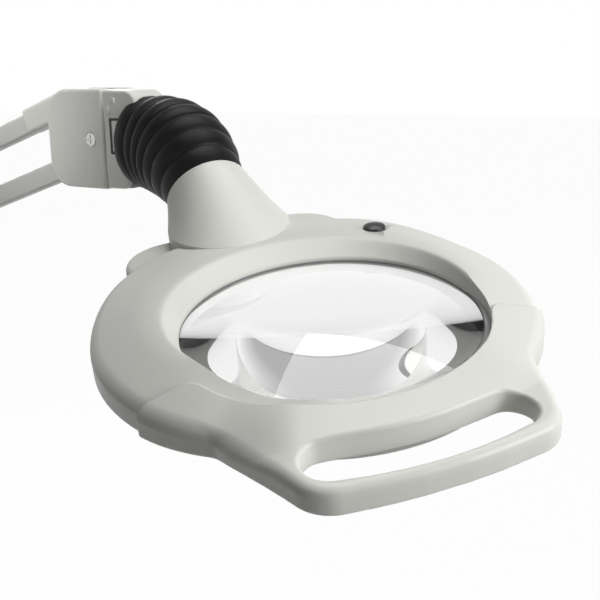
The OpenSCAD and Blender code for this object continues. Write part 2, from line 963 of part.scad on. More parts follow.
module tilt_washers() {
    color("#8d8f92")
        at_knuckle()
            for (x = [-1, 1])
                translate([x * (tilt_stack - tilt_washer_t / 2) - tilt_washer_t / 2, 0, 0])
                    rotate([0, 90, 0])
                        tube(tilt_bolt_d + 0.5, tilt_bolt_d / 2 + fit, tilt_washer_t);
}

// The gaiter is swept along one smooth curve from the bracket's collar to the mouth of the neck
gaiter_rings = 4 * gaiter_folds;
gaiter_sides = 28;
gaiter_wall = 1.6;
gaiter_end_r = collar_out_r + 0.3 + gaiter_wall;
gaiter_neck_r = neck_rim_r - neck_wall - 1;
function spin_z(a, p) = [p[0] * cos(a) - p[1] * sin(a), p[0] * sin(a) + p[1] * cos(a), p[2]];
function spin_x(a, p) = [p[0], p[1] * cos(a) - p[2] * sin(a), p[1] * sin(a) + p[2] * cos(a)];
stem_dir = spin_z(head_yaw, spin_x(head_tilt, -neck_dir));
gaiter_from = swivel_point + [collar_front_x - 3, 0, collar_lift];
gaiter_to = tilt_point + (rim_to_tilt + 1) * stem_dir;
gaiter_pull = 0.42 * norm(gaiter_to - gaiter_from);
gaiter_points = [
    gaiter_from,
    gaiter_from + gaiter_pull * [1, 0, 0],
    gaiter_to - gaiter_pull * stem_dir,
    gaiter_to
];
function bezier(p, t) =
    pow(1 - t, 3) * p[0] + 3 * t * pow(1 - t, 2) * p[1] + 3 * t * t * (1 - t) * p[2] + pow(t, 3) * p[3];
function bezier_dir(p, t) =
    pow(1 - t, 2) * (p[1] - p[0]) + 2 * t * (1 - t) * (p[2] - p[1]) + t * t * (p[3] - p[2]);
function unit(v) = v / norm(v);
function gaiter_plain_r(t) =
    gaiter_end_r * (1 - t) + gaiter_neck_r * t
        + 4 * t * (1 - t) * (gaiter_r - (gaiter_end_r + gaiter_neck_r) / 2);
function gaiter_radius(t) =
    gaiter_plain_r(t) - (t < 0.06 || t > 0.94 ? 0 : 1.3 * (1 - cos(360 * gaiter_folds * t)) / 2);
function gaiter_ring(t, inset) = let (
    c = bezier(gaiter_points, t),
    d = unit(bezier_dir(gaiter_points, t)),
    side = unit(cross(d, [0, 0, 1])),
    up = cross(side, d),
    r = gaiter_radius(t) - inset
) [for (j = [0:gaiter_sides - 1]) let (a = 360 * j / gaiter_sides) c + r * (cos(a) * side + sin(a) * up)];

module gaiter() {
    color(rubber_black)
        let (
            outer = [for (i = [0:gaiter_rings]) each gaiter_ring(i / gaiter_rings, 0)],
            inner = [for (i = [0:gaiter_rings]) each gaiter_ring(i / gaiter_rings, gaiter_wall)],
            n = gaiter_sides,
            shift = len(outer),
            last = gaiter_rings * n,
            skin = [for (i = [0:gaiter_rings - 1], j = [0:n - 1])
                let (a = i * n + j, b = i * n + (j + 1) % n)
                    [[a, b, b + n], [a, b + n, a + n]]],
            outside = [for (q = skin) each q],
            inside = [for (q = outside) [q[0] + shift, q[2] + shift, q[1] + shift]],
            ends = [for (j = [0:n - 1])
                let (b = (j + 1) % n)
                    each [[j, j + shift, b + shift], [j, b + shift, b],
                        [last + j, last + b + shift, last + j + shift],
                        [last + j, last + b, last + b + shift]]]
        )
            polyhedron(concat(outer, inner), concat(outside, inside, ends));
}

// Head bracket

module swivel_pin() {
    color(steel)
        at_bracket() {
            cylinder(d = swivel_pin_d, h = 2 * (fork_z + fork_arm_t), center = true);
            translate([0, 0, fork_z + fork_arm_t])
                cylinder(d = swivel_pin_d + 4, h = 1.6);
        }
}

// One side plate of a frame that holds two pivots, in XZ, with the round corners of the cover around it
module pivot_plate(x0, x1, h) {
    translate([(x0 + x1) / 2, plate_t / 2, 0])
        rotate([90, 0, 0])
            linear_extrude(plate_t)
                round_rect(x1 - x0, h, plate_corner_r);
}

// The frame of the pivots and the covers, above the swivel's middle by the bracket's lift
module at_pivots() {
    at_bracket()
        translate([0, 0, bracket_lift])
            children();
}

module neck_block(grow) {
    translate([cover_front_x - 6, -neck_block_w / 2 - grow, -neck_block_h / 2 - grow])
        cube([collar_back_x - cover_front_x + 6, neck_block_w + 2 * grow, neck_block_h + 2 * grow]);
}

module bracket_frame() {
    color(steel)
        difference() {
            union() {
                at_pivots() {
                    for (y = [-1, 1])
                        translate([0, y * (plate_gap + plate_t / 2), 0])
                            pivot_plate(plate_back_x, plate_front_x, plate_h);
                    translate([plate_front_x - web_t, -plate_gap - eps, -web_h / 2])
                        cube([web_t, 2 * plate_gap + 2 * eps, web_h]);
                    neck_block(0);
                    translate([bracket_screw_x, 0, 0])
                        cross_pin(2 * bracket_boss_r, 2 * plate_gap + 1);
                }
                at_bracket() {
                    translate([collar_back_x - flange_t + 1, 0, collar_lift])
                        rotate([0, 90, 0]) {
                            cylinder(r = collar_out_r, h = flange_t);
                            translate([0, 0, flange_t - 1])
                                tube(collar_out_r, collar_in_r, collar_front_x - collar_back_x);
                        }
                    for (z = [-1, 1])
                        translate([0, 0, z * (fork_z + fork_arm_t / 2) - fork_arm_t / 2]) {
                            translate([collar_back_x - 2, -fork_arm_w / 2, 0])
                                cube([-collar_back_x + 2, fork_arm_w, fork_arm_t]);
                            cylinder(d = fork_arm_w, h = fork_arm_t);
                        }
                }
            }
            at_bracket()
                cylinder(d = swivel_pin_d + 2 * fit, h = 3 * knuckle_h, center = true);
            at_pivots() {
                for (z = [-1, 1])
                    translate([pivot_x, 0, pivot_rise + z * bar_pitch / 2])
                        cross_pin(pivot_d + 2 * fit, 2 * bracket_w);
                translate([bracket_screw_x, 0, 0])
                    cross_pin(bracket_screw_d + 2 * fit, 2 * bracket_w);
            }
        }
}

// One half of a plastic cover, on the side of -Y, with a slot along its middle for the bars.
// Its rear corners are round, and so are its front corners unless the front is square.
module half_cover(l, h, half_w, square_front) {
    rotate([90, 0, 0])
        difference() {
            translate([0, 0, cover_slot_w / 2])
                linear_extrude(half_w - cover_slot_w / 2)
                    cover_plan(l, h, cover_corner_r, square_front);
            translate([0, 0, cover_slot_w / 2 - eps])
                linear_extrude(half_w - cover_slot_w / 2 - bracket_wall)
                    cover_plan(l - 2 * bracket_wall, h - 2 * bracket_wall, cover_corner_r - bracket_wall,
                        square_front);
        }
}

module cover_plan(l, h, r, square_front) {
    round_rect(l, h, r);
    if (square_front)
        translate([0, -h / 2])
            square([l / 2, h]);
}

module bracket_cover() {
    at_pivots()
        difference() {
            translate([(cover_back_x + cover_front_x) / 2, 0, 0])
                half_cover(bracket_l, bracket_h, bracket_w / 2, true);
            translate([bracket_screw_x, -bracket_w / 2, 0]) {
                cross_pin(bracket_screw_d + 0.5, 4 * bracket_wall);
                cross_pin(2 * screw_dish_r, 2);
            }
            neck_block(gap);
        }
}

module bracket_cover_right() {
    color(shell_grey)
        bracket_cover();
}

module bracket_cover_left() {
    color(shell_grey)
        mirror([0, 1, 0])
            bracket_cover();
}

module bracket_screws() {
    color(steel)
        at_pivots()
            for (side = [0, 1])
                mirror([0, side, 0])
                    translate([bracket_screw_x, -bracket_w / 2 - 0.6, 0])
                        rotate([-90, 0, 0])
                            screw(screw_dish_r - 0.7, 1.6, bracket_screw_d, bracket_w / 2 - 4);
}

module head_pivot_pins() {
    color(steel)
        at_pivots()
            for (z = [-1, 1])
                translate([pivot_x, 0, pivot_rise + z * bar_pitch / 2])
                    cross_pin(pivot_d, pin_l);
}

// Arm

module arm_bar() {
    difference() {
        link(arm_l, bar_end_r, bar_w);
        rotate([90, 0, 0])
            translate([0, 0, -bar_w / 2 + bar_wall])
                linear_extrude(bar_w - 2 * bar_wall)
                    translate([bar_solid_l, -bar_end_r + bar_wall])
                        square([arm_l - 2 * bar_solid_l, bar_h - 2 * bar_wall]);
        for (x = [0, arm_l])
            translate([x, 0, 0])
                cross_pin(2 * bush_r + 2 * fit, 2 * bar_w);
    }
}

module bar_bushes() {
    for (x = [0, arm_l])
        translate([x, 0, 0])
            rotate([90, 0, 0])
                translate([0, 0, -bush_l / 2])
                    tube(bush_r, pivot_d / 2 + fit, bush_l);
}

module top_bar() {
    color(shell_grey)
        along_bar(1)
            difference() {
                arm_bar();
                translate([spring_pin_x, 0, 0])
                    cross_pin(spring_pin_d + 2 * fit, 2 * bar_w);
            }
}

module top_bar_bushes() {
    color("#e8e8e2")
        along_bar(1)
            bar_bushes();
}

module top_bar_sleeve() {
    color(shell_grey)
        along_bar(1)
            translate([arm_l - sleeve_end - sleeve_l, 0, 0])
                difference() {
                    translate([0, -bar_w / 2 - gap - sleeve_side_t, -bar_h / 2 - gap - sleeve_t])
                        cube([sleeve_l, bar_w + 2 * (gap + sleeve_side_t), bar_h + 2 * (gap + sleeve_t)]);
                    translate([-eps, -bar_w / 2 - gap, -bar_h / 2 - gap])
                        cube([sleeve_l + 2 * eps, bar_w + 2 * gap, bar_h + 2 * gap]);
                }
}

module bottom_bar() {
    color(shell_grey)
        along_bar(-1)
            arm_bar();
}

module bottom_bar_bushes() {
    color("#e8e8e2")
        along_bar(-1)
            bar_bushes();
}

module arm_spring() {
    color("#8d8f92")
        along_bar(1)
            translate([spring_start, 0, 0])
                rotate([0, 90, 0])
                    rotate_extrude()
                        polygon(concat(
                            [[spring_r - 1.4, spring_l], [spring_r - 1.4, 0]],
                            [for (i = [0:spring_turns - 1]) each [
                                [spring_r - 0.5, i * spring_l / spring_turns],
                                [spring_r, (i + 0.5) * spring_l / spring_turns]]],
                            [[spring_r - 0.5, spring_l]]
                        ));
}

module spring_pin() {
    color(steel)
        along_bar(1)
            translate([spring_pin_x, 0, 0])
                cross_pin(spring_pin_d, bar_w + 1);
}

// Base

module base_frame() {
    color(steel)
        difference() {
            union() {
                for (y = [-1, 1])
                    translate([0, y * (plate_gap + plate_t / 2), (base_plate_top_z + base_bottom_z) / 2])
                        pivot_plate(-base_l / 2, base_l / 2, base_plate_top_z - base_bottom_z);
                translate([-base_l / 2, -plate_gap - plate_t, base_bottom_z])
                    cube([base_l, 2 * (plate_gap + plate_t), base_block_h]);
            }
            translate([0, 0, base_bottom_z - eps])
                cylinder(d = spigot_d - 2 + 2 * fit, h = base_block_h + 2 * eps);
            for (z = [-1, 1])
                translate([0, 0, base_z + z * bar_pitch / 2])
                    cross_pin(pivot_d + 2 * fit, 100);
            translate([0, 0, base_z])
                cross_pin(bracket_screw_d + 2 * fit, 100);
            translate([-base_l / 2 - eps, 0, base_bottom_z + base_block_h / 2])
                rotate([0, 90, 0])
                    cylinder(d = inlet_bore_r * 2 + 2.6 + 2 * fit, h = 10);
        }
}

module base_cover() {
    difference() {
        translate([0, 0, (base_cover_top_z + base_bottom_z) / 2 - cover_corner_r])
            half_cover(2 * base_cover_x, base_cover_top_z - base_bottom_z + 2 * cover_corner_r,
                bracket_w / 2, false);
        translate([0, -bracket_w / 2, base_z])
            cross_pin(bracket_screw_d + 0.5, 4 * bracket_wall);
        translate([-base_l, -bracket_w, base_bottom_z + 1 - base_z])
            cube([2 * base_l, 2 * bracket_w, base_z]);
    }
}

module base_cover_right() {
    color(shell_grey)
        base_cover();
}

module base_cover_left() {
    color(shell_grey)
        mirror([0, 1, 0])
            base_cover();
}

module base_screws() {
    color(steel)
        for (side = [0, 1])
            mirror([0, side, 0])
                translate([0, -bracket_w / 2 - 1.6, base_z])
                    rotate([-90, 0, 0])
                        screw(screw_dish_r - 0.7, 1.6, bracket_screw_d, bracket_w / 2 - plate_gap);
}

module base_pivot_pins() {
    color(steel)
        for (z = [-1, 1])
            translate([0, 0, base_z + z * bar_pitch / 2])
                cross_pin(pivot_d, pin_l);
}

module spigot() {
    color(steel) {
        translate([0, 0, base_bottom_z])
            cylinder(d = spigot_d - 2, h = base_block_h);
        translate([0, 0, base_bottom_z - spigot_l])
            cylinder(d = spigot_d, h = spigot_l);
    }
}

module spigot_washer() {
    color("#e8e8e2")
        translate([0, 0, base_bottom_z - washer_t])
            tube(clamp_boss_r, spigot_d / 2 + fit, washer_t - run / 4);
}

module power_inlet() {
    color(rubber_black)
        translate([-base_l / 2, 0, base_bottom_z + base_block_h / 2])
            rotate([0, 90, 0])
                difference() {
                    union() {
                        translate([0, 0, -1.5])
                            cylinder(r = inlet_r - 0.4, h = 1.5);
                        cylinder(r = inlet_bore_r + 1.3, h = inlet_bore_l);
                    }
                    translate([0, 0, -1.5 - eps])
                        cylinder(r = inlet_bore_r, h = inlet_bore_l);
                }
}

// Clamp

module clamp_body() {
    color("#c9c9c4")
        difference() {
            union() {
                translate([clamp_back_x, -clamp_w / 2, jaw_pad_t])
                    cube([clamp_reach, clamp_w, clamp_t]);
                translate([clamp_back_x, -clamp_w / 2, clamp_bottom_z - clamp_t])
                    cube([clamp_reach, clamp_w, clamp_t]);
                translate([clamp_back_x - clamp_t, -clamp_w / 2, clamp_bottom_z - clamp_t])
                    cube([clamp_t, clamp_w, clamp_gap + 2 * jaw_pad_t + 2 * clamp_t]);
                translate([0, 0, jaw_pad_t])
                    cylinder(r = clamp_boss_r, h = clamp_boss_top_z - jaw_pad_t - run / 4);
            }
            translate([0, 0, jaw_pad_t + clamp_t])
                cylinder(r = spigot_d / 2 + bush_wall, h = clamp_boss_top_z);
            translate([screw_x, 0, clamp_bottom_z - clamp_t - eps])
                cylinder(d = screw_d + 2 * fit, h = clamp_t + 2 * eps);
        }
}

module clamp_bush() {
    color("#e8e8e2")
        translate([0, 0, jaw_pad_t + clamp_t])
            tube(spigot_d / 2 + bush_wall - fit, spigot_d / 2 + fit,
                clamp_boss_top_z - jaw_pad_t - clamp_t - run / 4);
}

module jaw_pad() {
    color(rubber_black)
        translate([clamp_back_x + 2, -clamp_w / 2 + 2, 0])
            cube([clamp_reach - 4, clamp_w - 4, jaw_pad_t]);
}

module clamp_screw() {
    color(steel)
        difference() {
            union() {
                translate([screw_x, 0, screw_bottom_z])
                    cylinder(d = screw_d, h = screw_top_z - screw_bottom_z - screw_tip_h);
                translate([screw_x, 0, screw_top_z - screw_tip_h])
                    cylinder(d = screw_d - 4, h = screw_tip_h);
                translate([screw_x, 0, screw_bottom_z])
                    cylinder(d = screw_d + 5, h = screw_head_h);
            }
            translate([screw_x, 0, bar_z])
                cross_pin(bar_d + 2 * fit, 100);
        }
}

module clamp_bar() {
    color(steel)
        translate([screw_x, 0, bar_z])
            cross_pin(bar_d, bar_l);
}

module clamp_bar_ends() {
    color(rubber_black)
        for (y = [-1, 1])
            translate([screw_x, y * (bar_l / 2 - 3), bar_z])
                rotate([90, 0, 0])
                    translate([0, 0, -5])
                        difference() {
                            cylinder(d = bar_d + 5, h = 10);
                            translate([0, 0, y > 0 ? 2 : -eps])
                                cylinder(d = bar_d + 2 * fit, h = 8 + eps);
                        }
}

module clamp_foot() {
    color("#c9c9c4")
        translate([screw_x, 0, -clamp_open - foot_t])
            difference() {
                cylinder(r = foot_r, h = foot_t);
                translate([0, 0, -eps])
                    cylinder(d = screw_d - 4 + 2 * fit, h = screw_tip_h + 0.1);
            }
}

top_housing();
bottom_housing();
front_cover();
neck_cover();
lens();
lens_gasket();
lens_bezel();
led_board();
leds();
diffuser();
power_button();
tactile_switch();
switch_board();
driver_board();
housing_screws();
cover_screws();
neck_socket();
stem();
stem_clip();
knuckle();
tilt_bolt();
tilt_nut();
tilt_washers();
gaiter();
swivel_pin();
bracket_frame();
bracket_cover_right();
bracket_cover_left();
bracket_screws();
head_pivot_pins();
top_bar();
top_bar_bushes();
top_bar_sleeve();
bottom_bar();
bottom_bar_bushes();
arm_spring();
spring_pin();
base_frame();
base_cover_right();
base_cover_left();
base_screws();
base_pivot_pins();
spigot();
spigot_washer();
power_inlet();
clamp_body();
clamp_bush();
jaw_pad();
clamp_screw();
clamp_bar();
clamp_bar_ends();
clamp_foot();
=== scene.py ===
import bmesh
import bpy
import numpy as np
from mathutils import Matrix


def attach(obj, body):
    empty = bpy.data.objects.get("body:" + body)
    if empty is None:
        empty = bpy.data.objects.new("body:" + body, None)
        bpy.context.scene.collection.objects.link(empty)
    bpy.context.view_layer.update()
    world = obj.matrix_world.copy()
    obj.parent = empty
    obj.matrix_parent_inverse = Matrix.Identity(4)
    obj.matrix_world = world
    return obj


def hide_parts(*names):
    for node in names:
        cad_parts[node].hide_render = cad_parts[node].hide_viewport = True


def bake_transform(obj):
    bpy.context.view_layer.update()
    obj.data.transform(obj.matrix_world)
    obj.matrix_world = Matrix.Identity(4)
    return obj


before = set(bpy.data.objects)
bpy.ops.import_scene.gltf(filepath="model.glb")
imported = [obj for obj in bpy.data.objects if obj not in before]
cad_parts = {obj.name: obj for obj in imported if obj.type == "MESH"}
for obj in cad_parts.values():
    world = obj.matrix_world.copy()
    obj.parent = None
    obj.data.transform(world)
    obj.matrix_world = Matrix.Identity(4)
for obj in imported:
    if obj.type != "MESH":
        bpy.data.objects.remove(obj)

scene = bpy.context.scene
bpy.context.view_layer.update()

# Table clamp: a cast C with a tall round boss for the lamp's spigot, painted pale grey.
# The upper jaw lies on the table through a thin pad, and the casting's edges are rounded for paint.
CLAMP_BACK = -35
CLAMP_TIP = 26
CLAMP_HALF_W = 20
CLAMP_TOP = 11
CLAMP_FOOT = -71
JAW_T = 9
CLAMP_EDGE_R = 2
BOSS_R = 13.7
BOSS_TOP = 61.65
BOSS_BORE_R = 8.75
BOSS_FLARE_R = 5


def rounded_outline(corners, radii, steps=8):
    """Closed outline with round corners: at each corner an arc of its radius touches both edges.
    Gives the arcs' points in order and the outward direction at each, for corners going anticlockwise."""
    corners = np.array(corners, float)
    back = np.roll(corners, 1, 0) - corners
    on = np.roll(corners, -1, 0) - corners
    back /= np.linalg.norm(back, axis=1, keepdims=True)
    on /= np.linalg.norm(on, axis=1, keepdims=True)
    half = np.arccos(np.clip((back * on).sum(1), -1, 1)) / 2
    r = np.broadcast_to(np.array(radii, float), half.shape)
    middle = (back + on) / np.linalg.norm(back + on, axis=1, keepdims=True)
    centre = corners + middle * (r / np.sin(half))[:, None]
    first = corners + back * (r / np.tan(half))[:, None] - centre
    last = corners + on * (r / np.tan(half))[:, None] - centre
    sweep = np.arctan2(first[:, 0] * last[:, 1] - first[:, 1] * last[:, 0], (first * last).sum(1))
    angle = np.arctan2(first[:, 1], first[:, 0])[:, None] + sweep[:, None] * np.linspace(0, 1, steps)
    out = np.stack([np.cos(angle), np.sin(angle)], -1)
    points = centre[:, None] + r[:, None, None] * out
    return points.reshape(-1, 2), (out * np.sign(sweep)[:, None, None]).reshape(-1, 2)


def round_edges(low, high, edge_r, steps=6):
    """Rows of a slab's side from its low face to its high one: how far in each row lies, and its height.
    Both edges are quarter rounds of edge_r."""
    a = np.linspace(0, np.pi / 2, steps)
    inset = edge_r * (1 - np.sin(a))
    rise = edge_r * (1 - np.cos(a))
    return np.concatenate([inset, inset[::-1]]), np.concatenate([low + rise, (high - rise)[::-1]])


def slab_rows(outline, rows, lay):
    """Rows of points of a slab: the outline moved in along its own outward direction, one ring a row.
    lay turns (across, along, height) into x, y, z."""
    points, out = outline
    inset, height = rows
    flat = points[None] - inset[:, None, None] * out[None]
    return lay(flat[..., 0], flat[..., 1], np.broadcast_to(height[:, None], flat.shape[:2]))


def upright(across, along, height):
    """A slab that lies flat: its height is Z."""
    return np.stack([across, along, height], -1)


def on_side(across, along, height):
    """A slab that stands on edge: its outline is in X and Z, and its thickness is along Y."""
    return np.stack([across, height, along], -1)


def turned_rows(profile, centre=(0, 0), sides=96):
    """Rows of points of a turned piece: each (radius, height) of the profile swept round a circle."""
    profile = np.array(profile, float)
    a = np.linspace(0, 2 * np.pi, sides, endpoint=False)
    x = centre[0] + profile[:, :1] * np.cos(a)
    y = centre[1] + profile[:, :1] * np.sin(a)
    return np.stack([x, y, np.broadcast_to(profile[:, 1:], x.shape)], -1)


def skin(name, rows, material, loop=False, sharp=35):
    """One closed skin through rows of points in millimetres, each row a ring. With loop the last row
    joins the first; otherwise a flat face closes each end."""
    rows = np.asarray(rows, float) / 1000
    count, sides = rows.shape[:2]
    index = np.arange(count * sides).reshape(count, sides)
    ahead = np.roll(index, -1, 1)
    if loop:
        quads = np.stack([index, ahead, np.roll(ahead, -1, 0), np.roll(index, -1, 0)], -1)
        ends = []
    else:
        quads = np.stack([index[:-1], ahead[:-1], ahead[1:], index[1:]], -1)
        ends = [index[0, ::-1].tolist(), index[-1].tolist()]
    mesh = bpy.data.meshes.new(name)
    mesh.from_pydata(rows.reshape(-1, 3), [], quads.reshape(-1, 4).tolist() + ends)
    work = bmesh.new()
    work.from_mesh(mesh)
    bmesh.ops.remove_doubles(work, verts=work.verts, dist=1e-7)
    bmesh.ops.recalc_face_normals(work, faces=work.faces)
    work.to_mesh(mesh)
    work.free()
    mesh.shade_smooth()
    mesh.set_sharp_from_angle(angle=np.radians(sharp))
    mesh.materials.append(material)
    piece = bpy.data.objects.new(name, mesh)
    scene.collection.objects.link(piece)
    return piece


def wire(tree, kind, sockets=(), **settings):
    """A node of this kind with its settings, and its sockets set to values or linked to other sockets."""
    node = tree.nodes.new(kind)
    for key, value in settings.items():
        setattr(node, key, value)
    for key, value in dict(sockets).items():
        if isinstance(value, bpy.types.NodeSocket):
            tree.links.new(value, node.inputs[key])
        else:
            node.inputs[key].default_value = value
    return node


def effect(name, numbers, results):
    """An empty shader node group with number inputs (name, default) and named results."""
    tree = bpy.data.node_groups.new(name, "ShaderNodeTree")
    for key, value in numbers:
        socket = tree.interface.new_socket(key, in_out="INPUT", socket_type="NodeSocketFloat")
        socket.default_value = value
    for key in results:
        tree.interface.new_socket(key, in_out="OUTPUT", socket_type="NodeSocketFloat")
    return tree, tree.nodes.new("NodeGroupInput"), tree.nodes.new("NodeGroupOutput")


def linear(red, green, blue):
    """A colour given as screen values from 0 to 255, in the linear light that shaders use."""
    c = np.array([red, green, blue]) / 255
    return (*np.where(c <= 0.04045, c / 12.92, ((c + 0.055) / 1.055) ** 2.4), 1.0)


# Surface of a moulded or painted piece: a fine grain, slow drifts of tone, and patchy gloss.
grain, given, put = effect(
    "fine_grain",
    [("Grain Scale", 1500), ("Drift Scale", 14), ("Drift", 0.03), ("Gloss", 0.4), ("Patch", 0.08)],
    ["Tone", "Roughness", "Height"])
place = wire(grain, "ShaderNodeTexCoord").outputs["Object"]
fine = wire(grain, "ShaderNodeTexNoise",
            {"Vector": place, "Scale": given.outputs["Grain Scale"], "Detail": 3.0, "Roughness": 0.6})
drift = wire(grain, "ShaderNodeTexNoise",
             {"Vector": place, "Scale": given.outputs["Drift Scale"], "Detail": 4.0, "Roughness": 0.55})
centred = wire(grain, "ShaderNodeMapRange", {0: drift.outputs[0], 1: 0.25, 2: 0.75, 3: -1.0, 4: 1.0})
toned = wire(grain, "ShaderNodeMath", {0: centred.outputs[0], 1: given.outputs["Drift"], 2: 1.0},
             operation="MULTIPLY_ADD")
patch = wire(grain, "ShaderNodeTexNoise", {"Vector": place, "Scale": 55.0, "Detail": 5.0, "Roughness": 0.65})
patched = wire(grain, "ShaderNodeMapRange", {0: patch.outputs[0], 1: 0.3, 2: 0.7, 3: -0.5, 4: 0.5})
glossed = wire(grain, "ShaderNodeMath",
               {0: patched.outputs[0], 1: given.outputs["Patch"], 2: given.outputs["Gloss"]},
               operation="MULTIPLY_ADD")
grain.links.new(toned.outputs[0], put.inputs["Tone"])
grain.links.new(glossed.outputs[0], put.inputs["Roughness"])
grain.links.new(fine.outputs[0], put.inputs["Height"])


def grained(name, colour, gloss, scale=1500, depth=0.02, drift=0.03, patch=0.08, **sockets):
    """A finish with the fine grain: its colour times the tone, its gloss, and a bump depth in millimetres."""
    material = bpy.data.materials.new(name)
    material.use_nodes = True
    tree = material.node_tree
    shader = tree.nodes["Principled BSDF"]
    group = wire(tree, "ShaderNodeGroup", node_tree=grain)
    for key, value in {"Grain Scale": scale, "Drift": drift, "Gloss": gloss, "Patch": patch}.items():
        group.inputs[key].default_value = value
    shade = wire(tree, "ShaderNodeHueSaturation", {"Value": group.outputs["Tone"], "Color": linear(*colour)})
    bump = wire(tree, "ShaderNodeBump",
                {"Height": group.outputs["Height"], "Distance": depth / 1000, "Strength": 1.0})
    tree.links.new(shade.outputs[0], shader.inputs["Base Color"])
    tree.links.new(group.outputs["Roughness"], shader.inputs["Roughness"])
    tree.links.new(bump.outputs[0], shader.inputs["Normal"])
    for key, value in sockets.items():
        shader.inputs[key.replace("_", " ")].default_value = value
    return material


cast_paint = grained("cast_paint", (206, 206, 200), 0.38, scale=420, depth=0.06, drift=0.04)

c_outline = rounded_outline(
    [(CLAMP_BACK, CLAMP_FOOT), (CLAMP_TIP, CLAMP_FOOT), (CLAMP_TIP, CLAMP_FOOT + JAW_T),
     (CLAMP_BACK + JAW_T, CLAMP_FOOT + JAW_T), (CLAMP_BACK + JAW_T, CLAMP_TOP - JAW_T),
     (CLAMP_TIP, CLAMP_TOP - JAW_T), (CLAMP_TIP, CLAMP_TOP), (CLAMP_BACK, CLAMP_TOP)],
    [8, 4, 3, 5, 5, 3, 4, 8])
c_sides = round_edges(-CLAMP_HALF_W, CLAMP_HALF_W, CLAMP_EDGE_R)
clamp_c = skin("clamp_casting", slab_rows(c_outline, c_sides, on_side), cast_paint)
boss_flare = np.radians(np.linspace(270, 180, 8))
clamp_boss = skin("clamp_boss", turned_rows(np.concatenate([
    np.stack([BOSS_R + BOSS_FLARE_R + BOSS_FLARE_R * np.cos(boss_flare),
              CLAMP_TOP + BOSS_FLARE_R + BOSS_FLARE_R * np.sin(boss_flare)], 1),
    [(BOSS_R, BOSS_TOP - 1), (BOSS_R - 0.3, BOSS_TOP - 0.3), (BOSS_R - 1, BOSS_TOP), (BOSS_BORE_R, BOSS_TOP),
     (BOSS_BORE_R, CLAMP_TOP - 1), (BOSS_R, CLAMP_TOP - 1)]])), cast_paint, loop=True)
for piece in (clamp_c, clamp_boss):
    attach(piece, "clamp")
    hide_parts("clamp_body")

# Jaw pad and swivelling foot: what touches the table. The pad is grained rubber glued to the upper jaw;
# the foot is a turned steel button that the screw carries, with a rounded working edge.
PAD_HALF_L = 24
PAD_HALF_W = 18
PAD_T = 2
black_rubber = grained("black_rubber", (11, 12, 12), 0.46, scale=900, depth=0.05, drift=0.12, patch=0.16,
                       Specular_IOR_Level=0.16)
pad_outline = rounded_outline([(-PAD_HALF_L, -PAD_HALF_W), (PAD_HALF_L, -PAD_HALF_W),
                               (PAD_HALF_L, PAD_HALF_W), (-PAD_HALF_L, PAD_HALF_W)], 3)
jaw_pad = skin("jaw_pad_rubber", slab_rows(pad_outline, round_edges(0, PAD_T, 0.6), upright), black_rubber)
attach(jaw_pad, "clamp")
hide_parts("jaw_pad")

# Bright steel: zinc-plated screws, pins and bars, with faint drawing lines along Z and dull spots.
streak, given, put = effect(
    "drawn_lines", [("Line Scale", 900), ("Gloss", 0.25)], ["Tone", "Roughness", "Height"])
place = wire(streak, "ShaderNodeTexCoord").outputs["Object"]
stretch = wire(streak, "ShaderNodeMapping", {"Vector": place, "Scale": (1.0, 1.0, 0.04)})
lines = wire(streak, "ShaderNodeTexNoise",
             {"Vector": stretch.outputs[0], "Scale": given.outputs["Line Scale"], "Detail": 4.0})
spots = wire(streak, "ShaderNodeTexNoise", {"Vector": place, "Scale": 260.0, "Detail": 5.0})
line_tone = wire(streak, "ShaderNodeMapRange", {0: lines.outputs[0], 1: 0.3, 2: 0.7, 3: 0.9, 4: 1.06})
spot_gloss = wire(streak, "ShaderNodeMapRange", {0: spots.outputs[0], 1: 0.35, 2: 0.75, 3: -0.06, 4: 0.14})
dull = wire(streak, "ShaderNodeMath", {0: spot_gloss.outputs[0], 1: given.outputs["Gloss"]}, operation="ADD")
streak.links.new(line_tone.outputs[0], put.inputs["Tone"])
streak.links.new(dull.outputs[0], put.inputs["Roughness"])
streak.links.new(lines.outputs[0], put.inputs["Height"])


def drawn_steel(name, colour, gloss):
    """A bright metal with the drawing lines in its tone, gloss and bump."""
    material = bpy.data.materials.new(name)
    material.use_nodes = True
    tree = material.node_tree
    shader = tree.nodes["Principled BSDF"]
    group = wire(tree, "ShaderNodeGroup", node_tree=streak)
    group.inputs["Gloss"].default_value = gloss
    shade = wire(tree, "ShaderNodeHueSaturation", {"Value": group.outputs["Tone"], "Color": linear(*colour)})
    bump = wire(tree, "ShaderNodeBump", {"Height": group.outputs["Height"], "Distance": 1e-5, "Strength": 1.0})
    tree.links.new(shade.outputs[0], shader.inputs["Base Color"])
    tree.links.new(group.outputs["Roughness"], shader.inputs["Roughness"])
    tree.links.new(bump.outputs[0], shader.inputs["Normal"])
    shader.inputs["Metallic"].default_value = 1.0
    return material


def paint_nodes(material, *names):
    """Gives CAD nodes whose shape is right this finish."""
    for name in names:
        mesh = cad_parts[name].data
        for slot in range(len(mesh.materials)):
            mesh.materials[slot] = material


